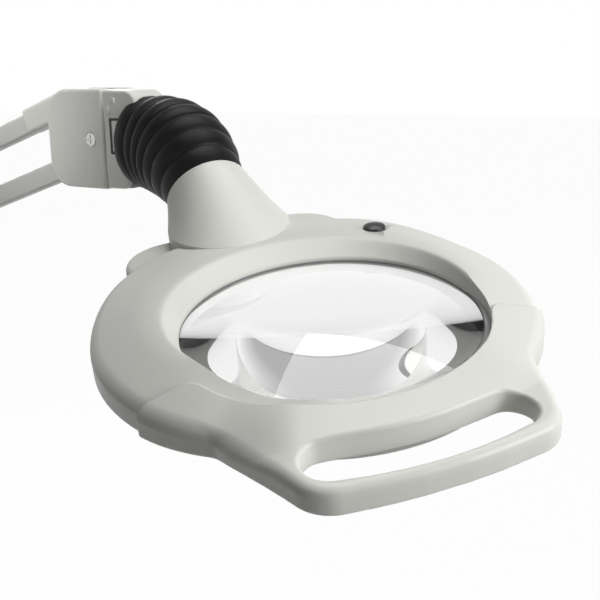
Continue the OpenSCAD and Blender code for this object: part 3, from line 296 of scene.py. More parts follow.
SCREW_X = 8
FOOT_R = 16
FOOT_ROUND = 2
FOOT_TOP = -36
FOOT_BASE = -41.95
zinc = drawn_steel("zinc_steel", (196, 196, 194), 0.26)
foot_edge = np.radians(np.linspace(0, 90, 6))
clamp_foot = skin("clamp_foot_turned", turned_rows(np.concatenate([
    [(4.2, FOOT_BASE), (FOOT_R - 1.5, FOOT_BASE), (FOOT_R - 0.4, FOOT_BASE + 0.45)],
    np.stack([FOOT_R - FOOT_ROUND + FOOT_ROUND * np.cos(foot_edge),
              FOOT_TOP - FOOT_ROUND + FOOT_ROUND * np.sin(foot_edge)], 1),
    [(1, FOOT_TOP)]]), centre=(SCREW_X, 0)), zinc)
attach(clamp_foot, "foot")
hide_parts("clamp_foot")
paint_nodes(zinc, "clamp_screw", "clamp_bar", "spigot")
paint_nodes(black_rubber, "clamp_bar_ends")

# Washer under the spigot's shoulder, and the bushes: turned nylon that the steel runs in, pressed into the
# clamp's boss and into the ends of both bars.
nylon = grained("nylon", (226, 225, 216), 0.48, scale=700, depth=0.03)
paint_nodes(nylon, "clamp_bush", "spigot_washer", "top_bar_bushes", "bottom_bar_bushes")

# Shoulder at the foot of the arm: a steel frame between two moulded half covers, screwed through.
# The covers are shells with round upper corners and a soft outer edge, and a dish takes each screw.
moulded_grey = grained("moulded_grey", (221, 221, 215), 0.4, scale=1700, depth=0.012, drift=0.018, patch=0.07)
frame_paint = grained("frame_paint", (150, 150, 147), 0.42, scale=500, depth=0.04, drift=0.05)
SHOULDER_Z = 104
BASE_COVER_HALF_L = 25.2
BASE_COVER_Z = (64.25, 131.75)
DISH_R = 4.6
DISH_DEPTH = 1.1
COVER_SLOT = 7.5
COVER_HALF_W = 15


def dished_cover(name, corners, radii, dish, side, edge_r):
    """Half cover whose outer face runs from its rounded outline in to a round dish for the screw.
    Rays from the dish's middle meet the outline, so each ring of points blends from one to the other."""
    points, out = rounded_outline(corners, radii, 24)
    away = points - np.array(dish)
    ray = away / np.linalg.norm(away, axis=1, keepdims=True)
    a = np.linspace(0, np.pi / 2, 7)
    edge = zip(edge_r * (1 - np.cos(a)), COVER_HALF_W - edge_r + edge_r * np.sin(a))
    wall = np.array([(0.0, COVER_SLOT), *edge])
    face = np.array([(DISH_R + 1.2, 0), (DISH_R + 0.5, 0), (DISH_R + 0.15, 0.12), (DISH_R, 0.45),
                     (DISH_R - 0.1, DISH_DEPTH), (0.4, DISH_DEPTH)])
    flat = np.concatenate([points - wall[:, :1, None] * out, np.array(dish) + face[:, :1, None] * ray])
    depth = np.concatenate([wall[:, 1], COVER_HALF_W - face[:, 1]])
    rows = np.concatenate([flat, np.broadcast_to(depth[:, None, None], (*flat.shape[:2], 1))], -1)
    return skin(name, on_side(rows[..., 0], rows[..., 1], side * rows[..., 2]), moulded_grey)


for name, side in (("right", -1), ("left", 1)):
    (low, high), half = BASE_COVER_Z, BASE_COVER_HALF_L
    corners = [(-half, low), (half, low), (half, high), (-half, high)]
    cover = dished_cover(f"base_shell_{name}", corners, [4, 4, 12, 12], (0, SHOULDER_Z), side, 2.4)
    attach(cover, "base")
    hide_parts(f"base_cover_{name}")
paint_nodes(frame_paint, "base_frame")
paint_nodes(zinc, "base_screws", "base_pivot_pins", "bracket_screws", "head_pivot_pins", "swivel_pin",
            "tilt_bolt", "tilt_nut", "tilt_washers", "knuckle", "stem", "stem_clip", "spring_pin", "arm_spring",
            "housing_screws", "cover_screws")
paint_nodes(black_rubber, "power_inlet")

# Arm: two parallel bars of drawn rectangular tube with soft corners, painted to match the plastics.
# Each runs between a base pivot and a head pivot; the upper one wears a moulded sleeve near the head.
bar_paint = grained("bar_paint", (205, 205, 201), 0.34, scale=600, depth=0.03, drift=0.03, patch=0.1)
ARM_SLOPE = np.radians(18.5)
ARM_L = 400
BAR_PITCH = 36.5
BAR_W = 10
BAR_H = 13
BAR_ENDS = (-6.5, ARM_L + 5.5)
SLEEVE_W = 13.2
SLEEVE_H = 15.8
SLEEVE_LIFT = 1.2
SLEEVE_ENDS = (ARM_L - 44, ARM_L - 10)
arm_dir = np.array([np.cos(ARM_SLOPE), 0, np.sin(ARM_SLOPE)])
arm_up = np.array([-np.sin(ARM_SLOPE), 0, np.cos(ARM_SLOPE)])


def bar_rows(start, ends, width, height, corner_r, edge_r):
    """Rounded rectangle carried along the arm's slope from ends[0] to ends[1] past start."""
    outline = rounded_outline([(-width / 2, -height / 2), (width / 2, -height / 2),
                               (width / 2, height / 2), (-width / 2, height / 2)], corner_r)
    flat = slab_rows(outline, round_edges(ends[0], ends[1], edge_r), upright)
    return start + flat[..., 2:] * arm_dir + flat[..., 1:2] * arm_up + flat[..., :1] * np.array([0, 1, 0])


for name, body, z in (("top_bar", "upper_arm", BAR_PITCH / 2), ("bottom_bar", "lower_arm", -BAR_PITCH / 2)):
    foot = np.array([0, 0, SHOULDER_Z + z])
    bar = skin(f"{name}_tube", bar_rows(foot, BAR_ENDS, BAR_W, BAR_H, 2.2, 0.8), bar_paint)
    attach(bar, body)
    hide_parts(name)
sleeve_at = np.array([0, 0, SHOULDER_Z + BAR_PITCH / 2]) + SLEEVE_LIFT * arm_up
sleeve = skin("top_bar_collar", bar_rows(sleeve_at, SLEEVE_ENDS, SLEEVE_W, SLEEVE_H, 3, 1.2), moulded_grey)
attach(sleeve, "upper_arm")
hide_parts("top_bar_sleeve")

# Head bracket: a steel frame in two moulded half covers with round rear corners, joined by one screw,
# and a moulded nose that carries the covers' top and bottom edges on to the rubber gaiter.
HEAD_YAW = np.radians(63)
HEAD_TILT = np.radians(9)
HEAD_TWIST = np.radians(-10)
KNUCKLE_REACH = 20
BRACKET_BACK = -85
BRACKET_FRONT = -39
BRACKET_MID = 5
BRACKET_HALF_H = 29
BRACKET_SCREW = -49
NOSE_HALF_W = 13.4
NOSE_CORNERS = [(-46, -23.6), (-23, -23.2), (-13, 32.4), (-46, 33.6)]
PIVOT_TO_SWIVEL = (72, 0, -8)
swivel = np.array([0, 0, SHOULDER_Z]) + ARM_L * arm_dir + PIVOT_TO_SWIVEL
bracket_at = swivel[[0, 2]]
for name, side in (("right", -1), ("left", 1)):
    low, high = BRACKET_MID - BRACKET_HALF_H, BRACKET_MID + BRACKET_HALF_H
    corners = np.array([(BRACKET_BACK, low), (BRACKET_FRONT, low), (BRACKET_FRONT, high), (BRACKET_BACK, high)])
    cover = dished_cover(f"bracket_shell_{name}", corners + bracket_at, [15, 2, 2, 17],
                         bracket_at + (BRACKET_SCREW, BRACKET_MID), side, 2.2)
    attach(cover, "bracket")
    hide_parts(f"bracket_cover_{name}")
nose_outline = rounded_outline(np.array(NOSE_CORNERS) + bracket_at, [2, 6, 8, 2])
nose_sides = round_edges(-NOSE_HALF_W, NOSE_HALF_W, 1.6)
nose = skin("bracket_nose", slab_rows(nose_outline, nose_sides, on_side), moulded_grey)
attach(nose, "bracket")
shadow_black = grained("shadow_gap", (30, 30, 29), 0.6, scale=900, depth=0.02, drift=0.1)


def side_pad(name, box, thick, material):
    """A small pad on the nose's near side: a rounded rectangle (x0, z0, x1, z1) that stands out by thick."""
    x0, z0, x1, z1 = box
    outline = rounded_outline(np.array([(x0, z0), (x1, z0), (x1, z1), (x0, z1)]) + bracket_at, 0.9, 5)
    rows = slab_rows(outline, round_edges(-NOSE_HALF_W - thick, -NOSE_HALF_W + 1, 0.3, 4), on_side)
    pad = skin(name, rows, material)
    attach(pad, "bracket")


# The first pad is a dark sheet of painted shadow: a near-black border round the plug face, painted where the
# slot around the plug lies in shade.
side_pad("plug_painted_shadow", (-35.6, -3.4, -22, 17.6), 0.1, shadow_black)
side_pad("plug_face", (-33.4, -1.8, -22, 16), 0.35, moulded_grey)
side_pad("catch_upper", (-32.6, 25.4, -29.6, 29), 1.4, moulded_grey)
side_pad("catch_lower", (-37.4, 19.4, -34.4, 24.6), 1.4, moulded_grey)
paint_nodes(moulded_grey, "bracket_frame")

# Gaiter: a black rubber bellows from the bracket's collar to the neck's rim. Its round folds have
# narrow creases between them. It is made as two halves that meet in a crease over the knuckle.
GAITER_FOLDS = 7
CREASE_DEPTH = 1.7
SPLIT = 3 / GAITER_FOLDS
REAR_R = 25.8
FRONT_R = 21.2
SWELL = 4.5
KNUCKLE_TO_RIM = 32
NECK_SLANT = np.radians(30)


def about_z(angle):
    """Turn about the Z axis."""
    return np.array([[np.cos(angle), -np.sin(angle), 0], [np.sin(angle), np.cos(angle), 0], [0, 0, 1]])


turn_yaw = about_z(HEAD_YAW)
turn_tilt = np.array([[1, 0, 0], [0, np.cos(HEAD_TILT), -np.sin(HEAD_TILT)],
                      [0, np.sin(HEAD_TILT), np.cos(HEAD_TILT)]])
tilt_point = swivel + KNUCKLE_REACH * np.array([np.sin(HEAD_YAW), -np.cos(HEAD_YAW), 0])
neck_in_head = np.array([0, np.cos(NECK_SLANT), np.sin(NECK_SLANT)])
stem_dir = -(turn_yaw @ turn_tilt @ neck_in_head)
collar_end = swivel + np.array([-22.6, 0, 3])
neck_end = tilt_point + KNUCKLE_TO_RIM * stem_dir
pull = 0.42 * np.linalg.norm(neck_end - collar_end)
bend = np.array([collar_end, collar_end + pull * np.array([1.0, 0, 0]), neck_end - pull * stem_dir, neck_end])


def bend_at(t):
    """Points and unit directions along the gaiter's middle: a cubic curve through four control points."""
    t = np.asarray(t, float)[:, None]
    u = 1 - t
    at = u ** 3 * bend[0] + 3 * t * u ** 2 * bend[1] + 3 * t ** 2 * u * bend[2] + t ** 3 * bend[3]
    way = u ** 2 * (bend[1] - bend[0]) + 2 * t * u * (bend[2] - bend[1]) + t ** 2 * (bend[3] - bend[2])
    return at, way / np.linalg.norm(way, axis=1, keepdims=True)


def bellows_rows(first, last, count, sides=120):
    """Rings round the curve. The radius swells in the middle, and each fold is a flattened half wave:
    the wave's sine to a low power, which leaves a narrow crease between broad round folds."""
    t = np.linspace(first, last, count)
    at, way = bend_at(t)
    plain = REAR_R * (1 - t) + FRONT_R * t + 4 * t * (1 - t) * SWELL
    fold = np.abs(np.sin(np.pi * GAITER_FOLDS * t)) ** 0.55
    r = plain - CREASE_DEPTH * (1 - fold)
    across = np.cross(way, (0, 0, 1))
    across /= np.linalg.norm(across, axis=1, keepdims=True)
    over = np.cross(across, way)
    a = np.linspace(0, 2 * np.pi, sides, endpoint=False)
    ring = np.cos(a)[None, :, None] * across[:, None] + np.sin(a)[None, :, None] * over[:, None]
    return at[:, None] + r[:, None, None] * ring


split_at, split_way = bend_at([SPLIT])
split_at, split_way = split_at[0] / 1000, split_way[0]
rear = skin("gaiter_rear_folds", bellows_rows(0, SPLIT, 73), black_rubber, sharp=60)
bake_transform(rear)
front = skin("gaiter_front_folds", bellows_rows(SPLIT, 1, 97), black_rubber, sharp=60)
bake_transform(front)
for half in (rear, front):
    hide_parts("gaiter")

# Neck: a moulded hood on the ring's back. It rises from a round foot and slants to a thinner round rim,
# where the gaiter enters; the wall is straight from foot to rim.
neck_k = np.array([[0, -neck_in_head[2], neck_in_head[1]], [neck_in_head[2], 0, 0], [-neck_in_head[1], 0, 0]])
turn_twist = np.eye(3) + np.sin(HEAD_TWIST) * neck_k + (1 - np.cos(HEAD_TWIST)) * neck_k @ neck_k
head_turn = turn_yaw @ turn_tilt @ turn_twist
RIM = np.array([0, 140.7, 10.0])
RIM_TO_KNUCKLE = 31
RIM_R = 23
NECK_FOOT_R = 31.5
NECK_FOOT_Y = 112.7
tilt_in_head = RIM + RIM_TO_KNUCKLE * neck_in_head


def in_head(points):
    """Points of the head's own frame, whose origin is on the lens axis level with the ring's top, put in the
    lamp's frame."""
    return tilt_point + (np.asarray(points, float) - tilt_in_head) @ head_turn.T


a = np.linspace(0, 2 * np.pi, 128, endpoint=False)
circle = np.stack([np.sin(a), np.cos(a)], -1)
rim_side = np.array([[1, 0, 0], [0, -neck_in_head[2], neck_in_head[1]]])


def foot_ring(r, z):
    """Circle of the neck's foot at a height."""
    return np.array([0, NECK_FOOT_Y, z]) + r * np.stack([circle[:, 0], -circle[:, 1], 0 * a], -1)


def rim_ring(r, back):
    """Circle of the neck's rim, moved back along the neck."""
    return RIM - back * neck_in_head + r * circle @ rim_side


rise = np.linspace(0, 1, 14)[:, None, None]
neck_rows = np.concatenate([
    [foot_ring(NECK_FOOT_R, -6.8)], foot_ring(NECK_FOOT_R, 0) * (1 - rise) + rim_ring(RIM_R, 0.7) * rise,
    [rim_ring(RIM_R - less, back) for less, back in ((0.2, 0.25), (0.6, 0), (1.1, 0), (1.4, 0.3), (1.5, 6))]])
neck = skin("neck_hood", in_head(neck_rows), moulded_grey)
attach(neck, "head")
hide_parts("neck_cover")
paint_nodes(nylon, "neck_socket")

# Ring: the upper housing, one moulding of nested circles. Its top falls like a flat cone to a tight outer
# edge, and its inner edge slopes down to the lens, whose hole lies nearer the front than the ring's middle.
RING_SIDES = 256
RING_SHIFT = 17.5
RING_R = 96.2
RING_H = 20.2
EDGE_W = 5
EDGE_H = 4
CROWN_FROM = 70
CROWN_W = 27
CROWN_DROP = 9
GRIP_WALL_FOOT = -13.2
FRONT_CUT = 4.6
BEVEL_TOP = (9.75, 66.35, 0)
BEVEL_FOOT = (0, 63.5, -6.2)
BUTTON_AT = (59.5, 65)
BUTTON_HOLE_R = 5.75


def nested_rings(circles, least=0):
    """Rings from (centre y, radius, z) triples, each the hull of that circle and a least one round the lens's
    axis: the ring goes by the direction it faces, and takes whichever circle reaches further that way. least is
    one radius or one for each direction."""
    c = np.array(circles, float)
    t = np.linspace(0, 2 * np.pi, RING_SIDES, endpoint=False)
    further = c[:, 1:2] - c[:, :1] * np.cos(t) > least
    y0, r = np.where(further, c[:, :1], 0), np.where(further, c[:, 1:2], least)
    x = r * np.sin(t)
    return np.stack([x, y0 - r * np.cos(t), np.broadcast_to(c[:, 2:], x.shape)], -1)


def between(first, last, shares):
    """Circles part of the way from one (centre, radius, z) to another."""
    s = np.array(shares)[:, None]
    return np.array(first) * (1 - s) + np.array(last) * s


def ease(t):
    """Rises smoothly from 0 at t = 0 to 1 at t = 1, and is level outside."""
    t = np.clip(t, 0, 1)
    return t * t * (3 - 2 * t)


def crown(x, y):
    """Fall of the top at a place seen from the ring's middle: nearly a cone, full at the sides and less towards
    the front and the back."""
    aside = np.abs(np.arctan2(x, -y))
    share = (0.42 + 0.58 * ease((aside - 0.4) / 0.35)) * (1 - 0.6 * ease((aside - 1.7) / 0.7))
    return CROWN_DROP * share * (np.clip(np.hypot(x, y) - CROWN_FROM, 0, 40) / CROWN_W) ** 1.2


def edge_fall(inward, width, height):
    """Fall of the top towards an outer edge, as a quarter of an ellipse; inward is how far from the edge."""
    return height * (1 - np.sqrt(1 - np.clip(1 - inward / width, 0, 0.985) ** 2))


a = np.linspace(0, np.pi / 2, 15)
outside_r = np.append(RING_R - EDGE_W * (1 - np.cos(a)), [CROWN_FROM + 7, CROWN_FROM + 4])
outside_z = -np.append(EDGE_H * (1 - np.sin(a)), [0, 0])
outside = np.concatenate([[(RING_R, -RING_H)], np.stack([outside_r, outside_z], 1)])
ring_rows = np.concatenate([
    np.column_stack([np.full(len(outside), RING_SHIFT), outside]),
    between((RING_SHIFT, CROWN_FROM + 2, 0), BEVEL_TOP, [0.6, 0.8]),
    between(BEVEL_TOP, BEVEL_FOOT, [0.015, 0.06, 0.15]) + [(0, 0.7, 0), (0, 0.3, 0), (0, 0.1, 0)],
    between(BEVEL_TOP, BEVEL_FOOT, [0.3, 0.6, 0.9, 0.97]),
    [(0, 63.5, -6.6), (0, 63.6, -7.4), (0, 66.3, -7.6), (5, 69, -5.2), (9.75, 72, -2.6), (RING_SHIFT, 81, -3.2),
     (RING_SHIFT, 90, -6), (RING_SHIFT, 94, -13), (RING_SHIFT, 94, -RING_H)]])
ahead = np.cos(np.linspace(0, 2 * np.pi, RING_SIDES, endpoint=False))
ring_points = nested_rings(ring_rows, BEVEL_FOOT[1] + FRONT_CUT * ease(ahead))
ring_fall = crown(ring_points[..., 0], ring_points[..., 1] - RING_SHIFT)
ring_points[..., 2] -= np.where(ring_points[..., 2] > -RING_H, ring_fall, 0)
behind_grip = (ring_points[..., 1] < -60) & (np.abs(ring_points[..., 0]) < 50)
ring_points[behind_grip, 2] = np.maximum(ring_points[behind_grip, 2], GRIP_WALL_FOOT)
ring = skin("ring_housing", in_head(ring_points), moulded_grey, loop=True, sharp=50)
hole_rows = turned_rows([(BUTTON_HOLE_R, -8), (BUTTON_HOLE_R, 4)], BUTTON_AT)
hole = skin("button_hole", in_head(hole_rows), moulded_grey)
cut = ring.modifiers.new("button_hole", "BOOLEAN")
cut.object = hole
cut.solver = "EXACT"
bpy.context.view_layer.update()
drilled = bpy.data.meshes.new_from_object(ring.evaluated_get(bpy.context.evaluated_depsgraph_get()))
ring.modifiers.clear()
ring.data = drilled
bpy.data.objects.remove(hole)
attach(ring, "head")
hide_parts("top_housing")

# Underside: a flat plate that closes the ring, the tube that seats the lens, and the flat bay at the back
# that holds the driver. All three are one moulding, screwed up into the ring.
PLATE_R = 93.8
WINDOW_R = (68.5, 76)
CLEAR_R = 63.5
SEAT_R = 66.2
plate = skin("ring_underside", in_head(nested_rings([
    (RING_SHIFT, PLATE_R, -18), (RING_SHIFT, PLATE_R, 0.4 - RING_H), (RING_SHIFT, PLATE_R - 0.4, -RING_H),
    (0, WINDOW_R[1] + 0.3, -RING_H), (0, WINDOW_R[1], 0.3 - RING_H), (0, WINDOW_R[1], -18)])),
    moulded_grey, loop=True)
tube = skin("lens_tube", in_head(nested_rings([
    (0, WINDOW_R[0], -18), (0, WINDOW_R[0], 0.2 - RING_H), (0, WINDOW_R[0] - 0.3, -RING_H),
    (0, CLEAR_R + 0.4, -RING_H), (0, CLEAR_R, 0.4 - RING_H), (0, CLEAR_R, -12.3), (0, SEAT_R, -12.3),
    (0, SEAT_R, -6.7), (0, WINDOW_R[0] - 0.1, -6.7)])), moulded_grey, loop=True)
bay_outline = rounded_outline([(-59, 82), (59, 82), (59, 126), (-59, 126)], [5, 5, 25, 25], 16)
bay = skin("driver_bay", in_head(slab_rows(bay_outline, round_edges(-21.7, -7, 3), upright)), moulded_grey)
for piece in (plate, tube, bay):
    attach(piece, "head")
    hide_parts("bottom_housing")

# Lens: ground glass, thick in the middle, with both faces part of a sphere and a flat flange round the rim.
# The flange lies in the tube on a rubber gasket.
LENS_FACE_R = 208
LENS_MID = -10
LENS_EDGE = 3
LENS_DOME_R = 64.5
LENS_R = 66
glass = bpy.data.materials.new("lens_glass")
glass.use_nodes = True
glass_tree = glass.node_tree
glass_shader = glass_tree.nodes["Principled BSDF"]
for key, value in {"Base Color": (0.985, 0.995, 0.99, 1), "Transmission Weight": 1.0, "IOR": 1.52}.items():
    glass_shader.inputs[key].default_value = value
glass_place = wire(glass_tree, "ShaderNodeTexCoord").outputs["Object"]
smear = wire(glass_tree, "ShaderNodeTexNoise", {"Vector": glass_place, "Scale": 30.0, "Detail": 6.0})
smear_gloss = wire(glass_tree, "ShaderNodeMapRange", {0: smear.outputs[0], 1: 0.45, 2: 0.8, 3: 0.0, 4: 0.02})
glass_tree.links.new(smear_gloss.outputs[0], glass_shader.inputs["Roughness"])
dome_r = np.concatenate([[0.02], np.linspace(1, LENS_DOME_R, 60)])
dome_z = LENS_EDGE / 2 + np.sqrt(LENS_FACE_R ** 2 - dome_r ** 2) - np.sqrt(LENS_FACE_R ** 2 - LENS_DOME_R ** 2)
face = np.stack([0 * dome_r, dome_r, dome_z], 1)
flange = [(0, LENS_R, LENS_EDGE / 2), (0, LENS_R, -LENS_EDGE / 2)]
lens_rows = np.concatenate([face, flange, (face * (1, 1, -1))[::-1]])
lens = skin("lens_ground", in_head(nested_rings(lens_rows + (0, 0, LENS_MID))), glass, sharp=20)
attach(lens, "head")
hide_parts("lens")
paint_nodes(black_rubber, "lens_gasket")

# Bezel: a glossy moulded snap ring that holds the lens down on its gasket. It clips into the tube, and its
# inner edge is rounded towards the glass.
BEZEL_R = 66.1
bezel_gloss = grained("bezel_gloss", (150, 152, 152), 0.12, scale=400, depth=0.01, drift=0.05, patch=0.05)
bezel = skin("lens_bezel_ring", in_head(nested_rings([
    (0, BEZEL_R, -8.4), (0, BEZEL_R, -6.6), (0, BEZEL_R - 0.3, -6.25), (0, CLEAR_R + 0.9, -6.25),
    (0, CLEAR_R + 0.3, -6.7), (0, CLEAR_R, -7.6), (0, CLEAR_R, -8.4)])), bezel_gloss, loop=True)
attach(bezel, "head")
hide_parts("lens_bezel")

# Light: a white board with a ring of small diodes round the lens tube, behind a frosted ring window. A green
# board carries the switch and another the driver. Their shapes are the CAD nodes' own.
board_white = grained("board_white", (232, 233, 230), 0.5, scale=900, depth=0.01)
board_green = grained("board_green", (38, 92, 58), 0.4, scale=800, depth=0.02, drift=0.1)
diode_yellow = grained("diode_yellow", (236, 214, 120), 0.3, scale=2500, depth=0.02, drift=0.08)
frosted = grained("frosted_window", (238, 239, 236), 0.5, scale=1200, depth=0.02, Transmission_Weight=0.35)
paint_nodes(board_white, "led_board")
paint_nodes(board_green, "switch_board", "driver_board")
paint_nodes(diode_yellow, "leds")
paint_nodes(frosted, "diffuser")
paint_nodes(black_rubber, "tactile_switch")

# Front cover: a moulding that slips over the ring's front and is screwed on from below. Its top falls as the
# ring's does, its arms slope down to a thin bowed bar, and between them the top ends in a rounded lip over the
# finger opening.
COVER_TURN = np.radians(-5.5)
COVER_R = 98.6
COVER_TOP = 1.6
COVER_FOOT = -20.6
SEAM_Y = -28
SEAM_ROUND = 5.5
LENS_GAP = (-3.5, -3.5, 67.5)
HANDLE_FRONT = -110.1
HANDLE_SHIFT = -4
HANDLE_ROUND = 16
WAIST_ROUND = 0.8
BOW = 6
CREASE_Y = -85
CREASE_FLAT = 30
RIDGE_Z = -4.8
RIDGE_IN = 4.6
BAR_FOOT = -15
BAR_UNTIL = -100
LIP_FOOT = -13.4
LIP_R = 103
OPENING_ROUND = 10
OPENING_IN = 14.6
FIT = 0.2
COVER_STEP = 0.8
cover_turn = about_z(COVER_TURN)
cover_ring = RING_SHIFT * cover_turn.T[:2, 1]


def hull_distance(x, y, discs, count=240):
    """How far points lie outside the hull of some discs (x, y, r): the largest, over all directions in the
    plane, of the point's reach in that direction less the discs' own."""
    discs = np.array(discs, float)
    far = None
    for angle in np.linspace(0, 2 * np.pi, count, endpoint=False):
        c, s = np.cos(angle), np.sin(angle)
        d = x * c + y * s - (discs[:, 0] * c + discs[:, 1] * s + discs[:, 2]).max()
        far = d if far is None else np.maximum(far, d)
    return far


def meet(p, q, r):
    """What lies in both of two solids, given how far a point is outside each, with the edge rounded by r."""
    return np.minimum(-r, np.maximum(p, q)) + np.hypot(np.maximum(r + p, 0), np.maximum(r + q, 0))


def join(p, q, r):
    """What lies in either of two solids, with the inner corner between them filled by a round of r."""
    return np.maximum(r, np.minimum(p, q)) - np.hypot(np.maximum(r - p, 0), np.maximum(r - q, 0))


def soft_step(t, soft):
    """Rises from 0 at t = 0 to 1 at t = 1 in a straight line, with both ends eased."""
    whole = np.sqrt(1 + soft * soft) - soft
    return (np.sqrt(t * t + soft * soft) - np.sqrt((t - 1) ** 2 + soft * soft) + whole) / (2 * whole)


bowed = [(x + HANDLE_SHIFT, HANDLE_FRONT + HANDLE_ROUND + BOW * (x / 50) ** 2, HANDLE_ROUND)
         for x in (-32.9, -20, -8, 8, 20, 35.5)]
handle_discs = [(-61.6, -48.4, 8), (57, -47.4, 8), *bowed]
opening_discs = [(x + HANDLE_SHIFT, HANDLE_FRONT + OPENING_IN + 5 * (x / 36) ** 2, OPENING_ROUND)
                 for x in range(-33, 34, 11)]


def cover_field(x, y, z):
    """How far points lie outside the cover: one plan of ring and handle joined by a round, under a top that is
    crowned as the ring is and falls over the arms to the bar, less the ring it slips over, the lens's hole with
    the seam, and the finger opening with the wall cut short under its far lip."""
    from_ring = np.hypot(x - cover_ring[0], y - cover_ring[1])
    plan = join(from_ring - COVER_R, hull_distance(x, y, handle_discs), WAIST_ROUND)
    fallen = crown(x - cover_ring[0], y - cover_ring[1])
    level = COVER_TOP - fallen
    over = x - HANDLE_SHIFT
    crease = CREASE_Y + 0.654 * (np.sqrt(np.maximum(np.abs(over) - CREASE_FLAT, 0) ** 2 + 9) - 3)
    ridge = HANDLE_FRONT + RIDGE_IN + BOW * (over / 50) ** 2
    fall = soft_step((crease - y) / np.maximum(crease - ridge, 4), 0.07)
    on_ring = ease((y - BAR_UNTIL) / 45)
    surface = level + (RIDGE_Z - level) * fall - edge_fall(-plan, 4 + on_ring, 3.4 + on_ring)
    foot = BAR_FOOT + (COVER_FOOT - BAR_FOOT) * ease((y - BAR_UNTIL) / 72)
    body = meet(meet(plan, 0.8 * (z - surface), 1), foot - z, 1.2)
    opening = meet(hull_distance(x, y, opening_discs), LIP_R - from_ring, 3)
    under_lip = np.maximum(np.maximum(np.abs(x) - 44, np.abs(y + 64) - 27), z - LIP_FOOT)
    body = meet(body, -join(opening, under_lip, 1.2), 1.6)
    above_ring = z - FIT + fallen + edge_fall(RING_R - from_ring, EDGE_W, EDGE_H)
    cavity = np.maximum(np.maximum(from_ring - RING_R - FIT, above_ring), -RING_H - 2 - z)
    cavity = np.minimum(cavity, np.maximum(from_ring - 83.2, above_ring))
    away = join(np.hypot(x - LENS_GAP[0], y - LENS_GAP[1]) - LENS_GAP[2], SEAM_Y - y, SEAM_ROUND)
    body = meet(body, -away, 0.6)
    return np.maximum(body, -cavity)


def level_surface(field, low, high, step):
    """Skin where a distance field is zero: one point in each crossed cell of a grid, drawn on to the surface by
    four steps along the slope, and a face round each grid edge whose ends lie on two sides of it. Gives the
    points, the faces and the slope at each point."""
    axes = [np.arange(a, b + step, step) for a, b in zip(low, high)]
    inside = field(axes[0][:, None, None], axes[1][None, :, None], axes[2][None, None, :]) < 0
    i, j, k = np.array(inside.shape) - 1
    corner = sum(inside[a:i + a, b:j + b, c:k + c].astype(int) for a in (0, 1) for b in (0, 1) for c in (0, 1))
    crossed = (corner > 0) & (corner < 8)
    number = np.full(crossed.shape, -1)
    number[crossed] = np.arange(crossed.sum())
    cells = np.argwhere(crossed)
    points = np.array(low) + (cells + 0.5) * step

    def slope(p):
        """How fast the field grows along each axis, from a small step to both sides."""
        near = 0.02
        return np.stack([field(*(p + s).T) - field(*(p - s).T) for s in near * np.eye(3)], -1) / (2 * near)

    middle = points.copy()
    for _ in range(4):
        g = slope(points)
        move = field(*points.T)[:, None] * g / np.maximum((g * g).sum(1, keepdims=True), 0.2)
        points = middle + np.clip(points - np.clip(move, -step, step) - middle, -0.75 * step, 0.75 * step)
    faces = []
    for axis in range(3):
        one, two = [k for k in range(3) if k != axis]
        n = [slice(0, s - 1) if k == axis else slice(1, s - 1) for k, s in enumerate(inside.shape)]
        m = [slice(1, s) if k == axis else slice(1, s - 1) for k, s in enumerate(inside.shape)]
        p, q = inside[tuple(n)], inside[tuple(m)]
        spots = np.argwhere(p != q)
        turned = p[tuple(spots.T)]
        spots[:, one] += 1
        spots[:, two] += 1
        steps = np.zeros((4, 3), int)
        steps[1, one] = steps[2, one] = steps[2, two] = steps[3, two] = -1
        quad = number[tuple((spots[:, None] + steps[None]).reshape(-1, 3).T)].reshape(-1, 4)
        forward = turned if axis != 1 else ~turned
        faces.append(np.where(forward[:, None], quad, quad[:, ::-1]))
    return points, np.concatenate(faces), slope(points)


points, faces, normals = level_surface(cover_field, (-101, -112, -25), (101, -26, 3), COVER_STEP)
mesh = bpy.data.meshes.new("front_cover_shell")
mesh.from_pydata(in_head(points @ cover_turn.T) / 1000, [], faces.tolist())
mesh.shade_smooth()
normals = normals @ cover_turn.T @ head_turn.T
mesh.normals_split_custom_set_from_vertices(normals / np.linalg.norm(normals, axis=1, keepdims=True))
mesh.materials.append(moulded_grey)
front_cover = bpy.data.objects.new("front_cover_shell", mesh)
scene.collection.objects.link(front_cover)
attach(front_cover, "head")
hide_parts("front_cover")

# Button: a soft black cap in a hole of the ring, domed, with a rounded edge, that presses a switch below.
# A flange under the ring's top keeps it in.
button_black = grained("button_black", (26, 26, 27), 0.36, scale=1500, depth=0.02, drift=0.1, patch=0.1)
BUTTON_R = 5.5
BUTTON_TOP = 1.8
DOME_R = 14
dome_in = 4.9 * (1 - np.linspace(0, 1, 14))
dome = np.stack([dome_in + 0.02, BUTTON_TOP - DOME_R + np.sqrt(DOME_R ** 2 - dome_in ** 2)], 1)
button = skin("button_cap", in_head(turned_rows(np.concatenate([
    [(2, -3.4), (6.6, -3.4), (6.6, -2.4), (BUTTON_R, -2.4), (BUTTON_R, 0.2), (5.4, 0.55), (5.2, 0.75)], dome]),
    BUTTON_AT)), button_black, sharp=50)
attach(button, "button")
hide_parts("power_button")

